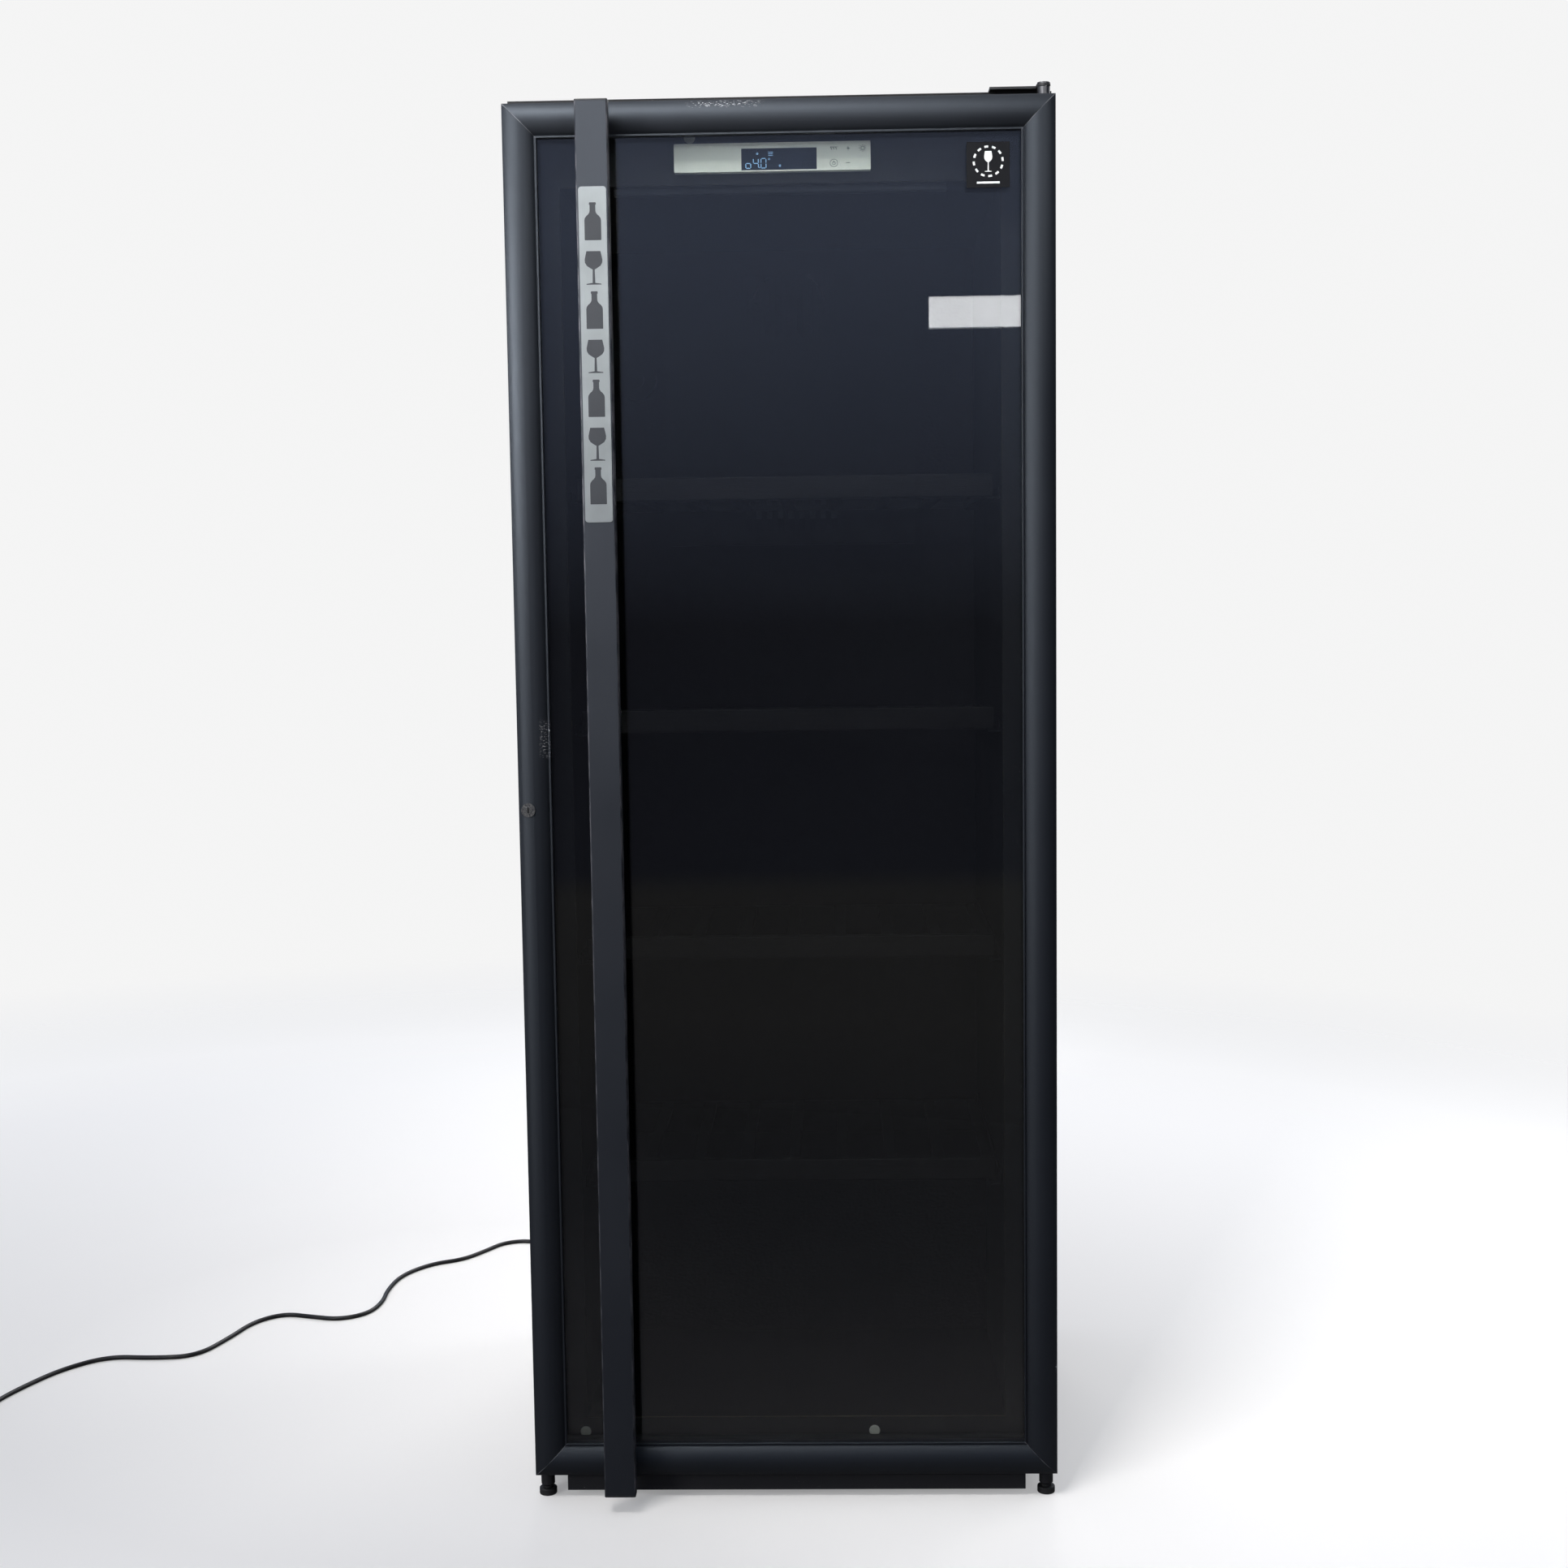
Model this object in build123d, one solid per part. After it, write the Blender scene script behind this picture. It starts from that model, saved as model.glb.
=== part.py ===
from build123d import *
from math import pi, radians, tan
import os

# Free-standing wine cabinet with a full-height glass door, hinged on its right-hand side.
# Millimetres. X runs to the right seen from the front, Y runs to the back, Z up from the floor.
# The origin is on the floor, under the middle of the cabinet with its handle and wall spacers.

# ---- Driving dimensions ----
half_width = 340.0
front_y = -365.0            # front of the nameplate on the handle
back_y = 365.0              # back of the wall spacers
door_front = -325.0         # crown of the door frame
door_back = -277.0
door_low = 36.0
door_top = 1784.0
case_front = -267.0
case_back = 335.0
case_low = 30.0
case_top = 1798.0
sheet = 1.2                 # steel sheet of the casing
wall_inner = 277.0          # half width between the side walls' foam
bar_width = 42.0            # width of the door frame seen from the front
bar_wall = 3.0
seat_width = 12.0           # flange that the glass rests against
bead_width = 6.0
crown_reach = 18.0          # from the outer edge of a bar to its crown
edge_setback = 5.4          # how far the outer edge lies behind the crown
glass_low = 12.0            # depth of the outer glass behind the crown
glass_overlap = 11.5        # how far the lip covers the glass
hinge_x = 328.0
hinge_y = -290.0
pin_radius = 5.0
pin_play = 0.05
handle_x = -225.0
handle_width = 40.0
handle_back = -347.0
handle_low = 26.0
handle_top = 1778.0
plate_thickness = 0.8
lock_x = -327.0
lock_z = 911.0
cavity_low = 95.0
cavity_top = 1690.0
step_y = 60.0               # front of the raised floor over the compressor
step_z = 340.0
cavity_back = 262.0
shelf_heights = (400.0, 700.0, 1000.0, 1300.0)
shelf_half = 268.0
shelf_front = -222.0
shelf_back = 190.0
fan_z = 1600.0
fan_y = 207.0               # front of the fan's frame
cord_radius = 3.5
coil_mean = 38.5            # radius to the middle of the coil's turns
coil_centre = (-1232.0, -40.0)
gland_x = -308.0
gland_z = 62.0

os.makedirs("parts", exist_ok=True)


def save(name, shape):
    """Write one node."""
    export_step(shape, "parts/" + name + ".step")


def block(x, y, z):
    """Box between two limits on each axis."""
    middle = [(low + high) / 2 for low, high in (x, y, z)]
    return Pos(*middle) * Box(x[1] - x[0], y[1] - y[0], z[1] - z[0])


def post(x, y, z, radius):
    """Upright cylinder between two heights."""
    return Pos(x, y, (z[0] + z[1]) / 2) * Cylinder(radius, z[1] - z[0])


def peg(x, y, z, radius):
    """Cylinder along Y between two depths."""
    return Pos(x, (y[0] + y[1]) / 2, z) * Rot(90, 0, 0) * Cylinder(radius, y[1] - y[0])


def beam(x, y, z, radius):
    """Cylinder along X between two limits."""
    return Pos((x[0] + x[1]) / 2, y, z) * Rot(0, 90, 0) * Cylinder(radius, x[1] - x[0])


def joined(shapes):
    """One solid out of shapes that overlap or touch."""
    shapes = list(shapes)
    return shapes[0] + shapes[1:]


def group(shapes):
    """Separate solids in one node."""
    return Compound(children=list(shapes))


def mirrored(shape):
    """The same piece on the other side of the cabinet."""
    return mirror(shape, about=Plane.YZ)


def upside_down(shape):
    """The same piece at the other end of the door."""
    return mirror(shape, about=Plane.XY.offset((door_low + door_top) / 2))


# ---- Door frame: four hollow mitred bars with a convex front and a lip over the glass ----
def bar_section():
    """Section of a bar as (distance from the outer edge, distance behind the crown)."""
    depth = door_back - door_front
    seat = bar_width - seat_width
    with BuildSketch() as section:
        with BuildLine():
            Polyline((1.0, edge_setback), (0, edge_setback + 1.4), (0, depth), (seat, depth), (seat, glass_low),
                     (bar_width, glass_low), (bar_width, 8.6), (bar_width - 0.6, 8.0),
                     (bar_width - 2.0, 8.0), (bar_width - 2.4, 9.6), (bar_width - 3.6, 9.6),
                     (bar_width - 4.0, 8.2))
            ThreePointArc((bar_width - 4.0, 8.2), (crown_reach, 0), (1.0, edge_setback))
        make_face()
        with Locations((bar_wall + 12.0, 30.0)):
            Rectangle(24.0, 30.0, mode=Mode.SUBTRACT)
    return section.sketch


def mitre(length):
    """Plan of a bar cut at 45 degrees at both ends, its outer edge on the X axis."""
    corners = [(0, 0), (length, 0), (length - bar_width, bar_width), (bar_width, bar_width)]
    return make_face(Polyline(*corners, close=True))


def straight_bar(origin, along, inward, length):
    """Bar from an outer corner of the door, running along one direction."""
    section_plane = Plane(origin=origin, x_dir=inward, z_dir=along)
    if section_plane.y_dir.Y < 0:
        section_plane = Plane(origin=origin, x_dir=inward, z_dir=tuple(-a for a in along))
        length = -length
    run = extrude(section_plane * bar_section(), amount=length)
    plan = Plane(origin=origin, x_dir=along, z_dir=(0, 1, 0))
    if (plan.y_dir - Vector(*inward)).length > 1:
        plan = Plane(origin=origin, x_dir=along, z_dir=(0, -1, 0))
    cut = extrude(plan * mitre(abs(length)), amount=60, both=True)
    return run & cut


corner = (-half_width, door_front, door_low)
rail_bottom = straight_bar(corner, (1, 0, 0), (0, 0, 1), 2 * half_width)
stile_left = straight_bar(corner, (0, 0, 1), (1, 0, 0), door_top - door_low)
rail_top = upside_down(rail_bottom)
stile_right = mirrored(stile_left)
pin_clear = post(hinge_x, hinge_y, (door_top - bar_wall - 1, door_top + 1), 5.8)
rail_top -= pin_clear
rail_bottom -= upside_down(pin_clear)
lock_bore = peg(lock_x, (door_front - 3, door_back + 1), lock_z, 7.0)
stile_plain = stile_left
stile_left -= lock_bore
save("rail_bottom", rail_bottom)
save("rail_top", rail_top)
save("stile_left", stile_left)
save("stile_right", stile_right)

# Corner keys fill the bars' chambers; the pair on the hinge side is bored for the pins.
key_reach = 70.0
key_play = 0.2
key_y = (door_front + 15 + key_play, door_back - bar_wall - key_play)
key_outer = half_width - bar_wall - key_play
key_inner = key_outer - 24 + 2 * key_play
key_high = door_top - bar_wall - key_play
key_low = key_high - 24 + 2 * key_play
key = block((key_outer - key_reach, key_outer), key_y, (key_low, key_high))
key += block((key_inner, key_outer), key_y, (key_high - key_reach, key_high))
key_pair = mirrored(key)
save("corner_keys", group([key_pair, upside_down(key_pair)]))
pin_depth = 24.0
key_bore = post(hinge_x, hinge_y, (door_top - pin_depth, door_top), pin_radius + pin_play)
hinge_block = key - key_bore
save("hinge_blocks", group([hinge_block, upside_down(hinge_block)]))

# ---- Double glazing, the bead that holds it, and the gasket ----
glass_edge = half_width - bar_width + glass_overlap
glass_bottom = door_low + bar_width - glass_overlap
glass_height = (glass_bottom, door_top - bar_width + glass_overlap)
outer_pane = (door_front + glass_low, door_front + glass_low + 4)
inner_pane = (outer_pane[1] + 12, outer_pane[1] + 16)
glass_x = (-glass_edge, glass_edge)
save("glass_outer", block(glass_x, outer_pane, glass_height))
save("glass_inner", block(glass_x, inner_pane, glass_height))


def ring(edge, inset, y, width):
    """Rectangular ring parallel to the door, from an outer edge inwards."""
    outer = block((-edge, edge), y, (door_low + inset, door_top - inset))
    hole_x = (-edge + width, edge - width)
    hole_z = (door_low + inset + width, door_top - inset - width)
    return outer - block(hole_x, (y[0] - 1, y[1] + 1), hole_z)


save("glass_spacer", ring(glass_edge, half_width - glass_edge, (outer_pane[1], inner_pane[0]), 9))

bead_inset = bar_width - seat_width
bead_y = (inner_pane[1], door_back)
bead_x = half_width - bead_inset
bead_low = door_low + bead_inset
bead_high = door_top - bead_inset
bead_side = block((-bead_x, -bead_x + bead_width), bead_y,
                  (bead_low + bead_width, bead_high - bead_width))
bead_end = block((-bead_x, bead_x), bead_y, (bead_low, bead_low + bead_width))
save("glazing_bead", group([bead_side, mirrored(bead_side), bead_end, upside_down(bead_end)]))

gasket_inset = 27.0
gasket_width = 8.0
gasket_gap = 0.5
gasket_y = (door_back, case_front - gasket_gap)
gasket = ring(half_width - gasket_inset, gasket_inset, gasket_y, gasket_width)
bellows = ring(half_width - gasket_inset + 1, gasket_inset - 1, (-274.0, -271.0), 3)
save("door_gasket", gasket - bellows)

# ---- Full-height handle: flat tube with chamfered front edges, caps, and two stand-offs ----
handle_front = front_y + plate_thickness
handle_half = handle_width / 2
handle_sides = (handle_x - handle_half, handle_x + handle_half)
cap_thickness = 2.0
tube = block(handle_sides, (handle_front, handle_back), (handle_low + cap_thickness,
                                                         handle_top - cap_thickness))
front_edges = tube.edges().filter_by(Axis.Z).group_by(Axis.Y)[0]
tube = chamfer(front_edges, 1.6)
tube -= block((handle_sides[0] + 2, handle_sides[1] - 2), (handle_front + 2.4, handle_back - 2),
              (handle_low, handle_top))
save("handle_bar", tube)
cap = block(handle_sides, (handle_front, handle_back), (handle_low, handle_low + cap_thickness))
cap = chamfer(cap.edges().filter_by(Axis.Z).group_by(Axis.Y)[0], 1.6)
cap += block((handle_sides[0] + 2.2, handle_sides[1] - 2.2), (handle_front + 2.6, handle_back - 2.2),
             (handle_low + cap_thickness, handle_low + 14))
handle_mid = (handle_low + handle_top) / 2
cap_high = mirror(cap, about=Plane.XY.offset(handle_mid))
save("handle_caps", group([cap, cap_high]))
standoff = block((handle_x - 9, handle_x + 9), (handle_back, door_front + 9),
                 (door_low + 8, door_low + 34))
standoff = fillet(standoff.edges().filter_by(Axis.Y), 4) - rail_bottom
save("handle_standoffs", group([standoff, upside_down(standoff)]))
plate = block((handle_x - 17, handle_x + 17), (front_y, handle_front), (1270, 1674))
save("nameplate", fillet(plate.edges().filter_by(Axis.Y), 4))

# ---- Lock: housing through the left stile, turning plug with a cam behind the door ----
plug_radius = 5.0
flange = peg(lock_x, (door_front - 1.5, door_front + 5), lock_z, 8.8) - stile_plain
housing = flange + peg(lock_x, (door_front - 1.5, door_back), lock_z, 7.0)
housing -= peg(lock_x, (door_front - 3, door_back + 1), lock_z, plug_radius + pin_play)
save("lock_housing", housing)
cam_y = (-273.8, -271.8)
barrel = peg(lock_x, (door_front - 2.0, cam_y[1]), lock_z, plug_radius)
barrel -= block((lock_x - 0.8, lock_x + 0.8), (door_front - 3, door_front + 9),
                (lock_z - 3.4, lock_z + 3.4))
cam = block((lock_x - 4, lock_x + 4), cam_y, (lock_z - 10.5, lock_z))
cam = fillet(cam.edges().filter_by(Axis.Y).group_by(Axis.Z)[0], 3)
save("lock_barrel", barrel + cam)
keeper = block((-324, -314), (case_front - 1.2, case_front), (896, 926))
keeper += block((-315.4, -314), (-276, case_front - 1.2), (lock_z - 5, lock_z + 6))
keeper += block((-321, -314), (-276, -274.8), (lock_z - 5, lock_z + 6))
save("lock_keeper", keeper)

# ---- Casing: folded side sheets, top, back, base pan, front frame and plinth ----
side = block((-half_width, -half_width + sheet), (case_front, case_back), (case_low, case_top))
side += block((-half_width + sheet, -wall_inner), (case_back - sheet, case_back),
              (case_low, case_top - sheet))
gland_hole = peg(gland_x, (case_back - 3, case_back + 1), gland_z, 6.0)
save("side_panel_left", side - gland_hole)
save("side_panel_right", mirrored(side))
inside_x = (-half_width + sheet, half_width - sheet)
save("top_panel", block(inside_x, (case_front, case_back), (case_top - sheet, case_top)))
bay_top = 290.0
save("back_panel", block((-wall_inner, wall_inner), (case_back - sheet, case_back),
                         (bay_top, case_top - sheet)))
pan_top = case_low + 3
foam_front = case_front + 2
foam_back = case_back - sheet
foam_top = case_top - sheet
save("base_pan", block(inside_x, (foam_front, foam_back), (case_low, pan_top)))
face = block(inside_x, (case_front, foam_front), (case_low, foam_top))
face -= block((-wall_inner, wall_inner), (case_front - 1, foam_front + 1),
              (cavity_low - 1, cavity_top + 1))
save("front_frame", face)
kick_y = (-305, -302)
plinth = block((-300, 300), kick_y, (10, case_low))
for tab_x in (-288, 0, 288):
    plinth += block((tab_x - 8, tab_x + 8), (kick_y[1] - 1, foam_front + 6), (case_low - 2, case_low))
save("plinth", plinth)

# ---- Insulation: foam slabs between the casing and the liner ----
riser_back = 111.0
side_foam = block((-half_width + sheet, -wall_inner), (foam_front, foam_back), (pan_top, foam_top))
side_foam -= peg(gland_x, (foam_back - 30, foam_back + 1), gland_z, 10.0)
full_width = (-wall_inner, wall_inner)
foam = [side_foam, mirrored(side_foam)]
foam.append(block(full_width, (foam_front, foam_back), (cavity_top + 1, foam_top)))
foam.append(block(full_width, (cavity_back + 1, foam_back), (step_z - 1, cavity_top + 1)))
foam.append(block(full_width, (foam_front, step_y + 1), (pan_top, cavity_low - 1)))
foam.append(block(full_width, (step_y + 1, riser_back), (pan_top, bay_top)))
foam.append(block(full_width, (step_y + 1, foam_back), (bay_top, step_z - 1)))
save("foam_panels", group(foam))


def cavity(x, skin):
    """Storage space with its raised floor over the compressor, grown by a skin."""
    low = cavity_low - skin
    high = cavity_top + skin
    deep = cavity_back + skin
    riser = step_y + skin
    outline = [(foam_front, low), (riser, low), (riser, step_z - skin), (deep, step_z - skin),
               (deep, high), (foam_front, high)]
    side_view = Plane(origin=(-x, 0, 0), x_dir=(0, 1, 0), z_dir=(1, 0, 0))
    return extrude(side_view * make_face(Polyline(*outline, close=True)), amount=2 * x)


save("inner_liner", cavity(wall_inner, 1) - cavity(wall_inner - 1, 0))

# ---- Shelf rails and sliding shelves ----
rail_wall = wall_inner - 1
rails = []
for height in shelf_heights:
    rail = block((-rail_wall, -rail_wall + 2), (-236, 205), (height - 2.5, height + 12))
    rail += block((-rail_wall + 2, -rail_wall + 16), (-236, 205), (height - 2.5, height - 0.5))
    rails.append(rail)
    rails.append(mirrored(rail))
save("shelf_rails", group(rails))

trim_depth = 14.0
frame_front = shelf_front + trim_depth
cradle_count = 7
for number, height in enumerate(shelf_heights, start=1):
    low = (height, height + 8)
    bars = [block((-shelf_half, -shelf_half + 12), (frame_front, shelf_back), low),
            block((shelf_half - 12, shelf_half), (frame_front, shelf_back), low),
            block((-shelf_half, shelf_half), (frame_front, frame_front + 12), low),
            block((-shelf_half, shelf_half), (shelf_back - 12, shelf_back), low)]
    for index in range(cradle_count):
        middle = (index - (cradle_count - 1) / 2) * 66
        bars.append(block((middle - 8, middle + 8), (frame_front, shelf_back), low))
    save(f"shelf_{number}_frame", joined(bars))
    trim = block((-shelf_half, shelf_half), (shelf_front, frame_front), (height, height + 30))
    save(f"shelf_{number}_front", fillet(trim.edges().filter_by(Axis.X), 2.5))

# ---- Cooling inside: evaporator behind a slotted duct cover, fan, filter, light ----
fins = [block((-150, 150), (236, 242), (1290, 1500))]
fins += [beam((-160, 160), 239, 1305 + 38 * turn, 5) for turn in range(6)]
fins += [block((end - 2, end + 2), (230, cavity_back), (1290, 1500)) for end in (-158, 158)]
save("evaporator", joined(fins))
duct_x = (-185, 185)
duct = block(duct_x, (205, cavity_back), (1250, 1680))
duct -= block((-183, 183), (207, cavity_back + 1), (1252, 1678))
for slot in range(9):
    slot_x = -64 + 16 * slot
    duct -= block((slot_x - 4, slot_x + 4), (204, 208), (fan_z - 46, fan_z + 46))
    duct -= block((slot_x - 4, slot_x + 4), (204, 208), (1270, 1330))
save("duct_cover", duct)

fan_frame = block((-60, 60), (fan_y, fan_y + 25), (fan_z - 60, fan_z + 60))
fan_frame -= peg(0, (fan_y - 1, fan_y + 26), fan_z, 54)
spokes = [block((-56, 56), (fan_y + 22, fan_y + 25), (fan_z - 3, fan_z + 3)),
          block((-3, 3), (fan_y + 22, fan_y + 25), (fan_z - 56, fan_z + 56)),
          peg(0, (fan_y + 14, fan_y + 25), fan_z, 18)]
shaft_radius = 2.0
fan_frame = fan_frame + spokes - peg(0, (fan_y + 13, fan_y + 24), fan_z, shaft_radius + pin_play)
save("fan_housing", fan_frame)
rotor = peg(0, (fan_y + 3, fan_y + 12), fan_z, 17) + peg(0, (fan_y + 11, fan_y + 22), fan_z,
                                                       shaft_radius)
blade_count = 5
for index in range(blade_count):
    turn = Pos(0, fan_y + 7.5, fan_z) * Rot(0, 360 / blade_count * index, 0)
    blade = turn * Pos(0, 0, 33) * Rot(0, 0, 24) * Box(20, 1.6, 34)
    rotor += blade
save("fan_rotor", rotor)
save("charcoal_filter", peg(-232, (cavity_back - 14, cavity_back), 1500, 30)
     + peg(-232, (cavity_back - 18, cavity_back - 14), 1500, 12))
lamp = block((-210, 210), (-252, -236), (cavity_top - 8, cavity_top))
save("light_strip", fillet(lamp.edges().filter_by(Axis.X).group_by(Axis.Z)[0], 3))

# ---- Control panel on the header, behind the glass ----
panel_x = (-131.0, 114.0)
panel_z = (1704.0, 1739.0)
panel_y = (case_front - 12, case_front)
display_x = (-47.0, 47.0)
display_z = (1705.5, 1732.0)
fascia = block(panel_x, panel_y, panel_z)
fascia = fillet(fascia.edges().filter_by(Axis.Y), 1.5)
fascia -= block(display_x, (panel_y[0] - 1, panel_y[0] + 3), display_z)
save("control_panel", fascia)
save("control_display", block(display_x, (panel_y[0] + 0.4, panel_y[0] + 3), display_z))

# ---- Hinges and feet ----
hinge_plate = block((262, 336), (-282, -225), (case_top, case_top + 3))
hinge_plate += block((hinge_x - 9, 336), (hinge_y - 1, -280), (case_top, case_top + 3))
hinge_plate += post(hinge_x, hinge_y, (case_top, case_top + 3), 9)
hinge_plate -= block((336.0, 350), (-320, -220), (case_top - 1, case_top + 4))
hinge_plate -= post(hinge_x, hinge_y, (case_top - 1, case_top + 4), pin_radius)
save("hinge_plate", hinge_plate)
pin_end = door_top - pin_depth + 2
pin_top = post(hinge_x, hinge_y, (pin_end, case_top + 3), pin_radius)
pin_top += post(hinge_x, hinge_y, (door_top + 0.5, case_top), 8)
pin_top += post(hinge_x, hinge_y, (case_top + 3, case_top + 5), 8)
pin_low = post(hinge_x, hinge_y, (case_low, door_low + pin_depth - 2), pin_radius)
pin_low += post(hinge_x, hinge_y, (case_low, door_low - 0.5), 8)
save("hinge_pins", group([pin_top, pin_low]))
screws = []
for screw_x in (276.0, 304.0):
    head = post(screw_x, -252, (case_top + 3, case_top + 5.2), 6)
    head = fillet(head.edges().group_by(Axis.Z)[-1], 1.6)
    screws.append(head - block((screw_x - 5, screw_x + 5), (-252.7, -251.3),
                               (case_top + 4.4, case_top + 6)))
save("hinge_screws", group(screws))

boss_low = 14.0
stem_radius = 4.0
plate_low = case_low - 4
bracket = block((306, 339), (hinge_y, -170), (plate_low, case_low))
bracket += post(hinge_x, hinge_y, (boss_low, case_low), 9)
bracket += block((hinge_x - 9, hinge_x + 9), (hinge_y, hinge_y + 10), (plate_low, case_low))
bracket -= post(hinge_x, hinge_y, (boss_low - 1, plate_low), stem_radius + pin_play)
save("foot_brackets", group([bracket, mirrored(bracket)]))
foot = post(hinge_x, hinge_y, (0, 9), 11.5)
foot = fillet(foot.edges().filter_by(GeomType.CIRCLE), 1.5)
foot += post(hinge_x, hinge_y, (9, 12), 7) + post(hinge_x, hinge_y, (9, plate_low - 1), stem_radius)
save("front_foot_right", foot)
save("front_foot_left", mirrored(foot))
rear_foot = post(300, 300, (0, case_low), 16)
rear_foot = fillet(rear_foot.edges().group_by(Axis.Z)[0], 2)
save("rear_feet", group([rear_foot, mirrored(rear_foot)]))

# ---- Refrigeration in the bay below the step, and the condenser on the back ----
comp_x = -120.0
comp_y = 222.0
comp_low = 48.0
shell = post(comp_x, comp_y, (comp_low, 226), 84)
shell = fillet(shell.edges().group_by(Axis.Z)[-1], 46)
shell = fillet(shell.edges().group_by(Axis.Z)[0], 18)
shell += block((comp_x - 110, comp_x + 110), (comp_y - 70, comp_y + 70), (comp_low - 3, comp_low + 3))
shell += block((comp_x + 70, comp_x + 104), (comp_y - 30, comp_y + 30), (100, 170))
save("compressor", shell)
mounts = []
for side_x in (comp_x - 94, comp_x + 94):
    for side_y in (comp_y - 54, comp_y + 54):
        mounts.append(post(side_x, side_y, (pan_top, comp_low - 3), 12))
save("compressor_mounts", group(mounts))

tube_radius = 2.5
tube_y = 352.8
tube_low = 440.0
tube_pitch = 90.0
tube_runs = 13
tube_half = 205.0
coil_parts = [block((-232, 232), (349.4, 350.4), (410, 1550))]
for run in range(tube_runs):
    coil_parts.append(beam((-tube_half, tube_half), tube_y, tube_low + tube_pitch * run, tube_radius))
for bend in range(tube_runs - 1):
    side_sign = 1 if bend % 2 == 0 else -1
    turn_x = side_sign * (tube_half + 8)
    low_z = tube_low + tube_pitch * bend
    coil_parts.append(post(turn_x, tube_y, (low_z, low_z + tube_pitch), tube_radius))
    for end_z in (low_z, low_z + tube_pitch):
        coil_parts.append(beam((turn_x - 9, turn_x + 9), tube_y, end_z, tube_radius))
outlet_z = tube_low + tube_pitch * (tube_runs - 1)
inlet = (-tube_half - 8, tube_y, 404)
coil_parts.append(beam((inlet[0] - 1, -tube_half), tube_y, tube_low, tube_radius))
coil_parts.append(post(inlet[0], inlet[1], (inlet[2], tube_low), tube_radius))
coil_parts.append(beam((tube_half, tube_half + 20), tube_y, outlet_z, tube_radius))
spacer_half = 180.0
for tab_z in (480, 1470):
    for tab_x in (-spacer_half, spacer_half):
        coil_parts.append(block((tab_x - 12, tab_x + 12), (case_back, 349.6), (tab_z - 10, tab_z + 10)))
        coil_parts.append(block((tab_x - 6, tab_x + 6), (350, back_y), (tab_z - 16, tab_z + 16)))
save("condenser", joined(coil_parts))


def pipe(points, radii, radius):
    """Round tube on straight runs joined by tangent arcs, and its length."""
    path = FilletPolyline(*points, radius=radii)
    start = Plane(origin=path @ 0, z_dir=path % 0)
    return sweep(start * Circle(radius), path=path), path.length


hot_line = [(-150, 290, 150), (-150, 326, 152), (-185, 346, 215), (inlet[0], inlet[1], 300), inlet]
save("refrigerant_line", pipe(hot_line, [12, 40, 60], tube_radius)[0])
drier_y = 312.0
drier_z = 110.0
drier = beam((20, 120), drier_y, drier_z, 10)
drier = fillet(drier.edges().filter_by(GeomType.CIRCLE), 4)
return_x = tube_half + 17
return_line = [(return_x, tube_y + 0.7, outlet_z), (return_x, tube_y + 0.7, 190),
               (195, 326, drier_z + 2), (118, drier_y, drier_z)]
capillary = [(22, drier_y, drier_z), (-14, drier_y, drier_z), (-20, drier_y, 140),
             (-22, drier_y, bay_top)]
drier += pipe(return_line, [30, 40], tube_radius)[0]
drier += pipe(capillary, [14, 60], 1.5)[0]
save("filter_drier", drier)

# ---- Mains lead: strain relief, free tube, put-away coil and plug ----
gland = peg(gland_x, (case_back - 6, case_back + 3), gland_z, 5.9)
gland += peg(gland_x, (case_back, case_back + 4), gland_z, 11)
tail_end = case_back + 28
tail = Pos(gland_x, (case_back + 4 + tail_end) / 2, gland_z) * Rot(-90, 0, 0) * Cone(
    8, cord_radius + 1.1, tail_end - case_back - 4)
save("cord_gland", gland + tail)

floor_z = cord_radius
cord_points = [(gland_x, tail_end, gland_z), (-310, 412, 60), (-322, 468, 47), (-345, 532, 27),
               (-374, 604, 9), (-412, 676, floor_z), (-458, 738, floor_z), (-503, 778, floor_z),
               (-551, 766, floor_z), (-578, 718, floor_z), (-610, 670, floor_z),
               (-660, 648, floor_z), (-702, 588, floor_z), (-711, 510, floor_z),
               (-706, 448, floor_z), (-718, 393, floor_z), (-760, 366, floor_z),
               (-808, 379, floor_z), (-857, 394, floor_z), (-898, 356, floor_z),
               (-916, 286, floor_z), (-946, 204, floor_z), (-1013, 196, floor_z),
               (-1084, 203, floor_z), (-1138, 150, floor_z), (-1170, 82, floor_z),
               (-1190, 25, floor_z), (-1193.5, -22, floor_z)]


def corner_radii(points):
    """The largest arc that both runs beside each corner leave room for."""
    radii = []
    for before, here, after in zip(points, points[1:], points[2:]):
        run_in = Vector(*here) - Vector(*before)
        run_out = Vector(*after) - Vector(*here)
        turn = radians(run_in.get_angle(run_out))
        radii.append(0.45 * min(run_in.length, run_out.length) / tan(turn / 2))
    return radii


radii = corner_radii(cord_points)
print("cord radii", [round(radius) for radius in radii])
cord, cord_length = pipe(cord_points, radii, cord_radius)
print("cord tube length", round(cord_length, 1), "volume against section times length",
      round(cord.volume / (pi * cord_radius ** 2 * cord_length), 4))
save("power_cord", cord)

coil_x, coil_y = coil_centre
coil_height = 4 * cord_radius
coil_outer = coil_mean + 2 * cord_radius
coil_solid = post(coil_x, coil_y, (0, coil_height), coil_outer)
coil_solid -= post(coil_x, coil_y, (-1, coil_height + 1), coil_mean - 2 * cord_radius)
save("cord_coil", coil_solid)

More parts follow.
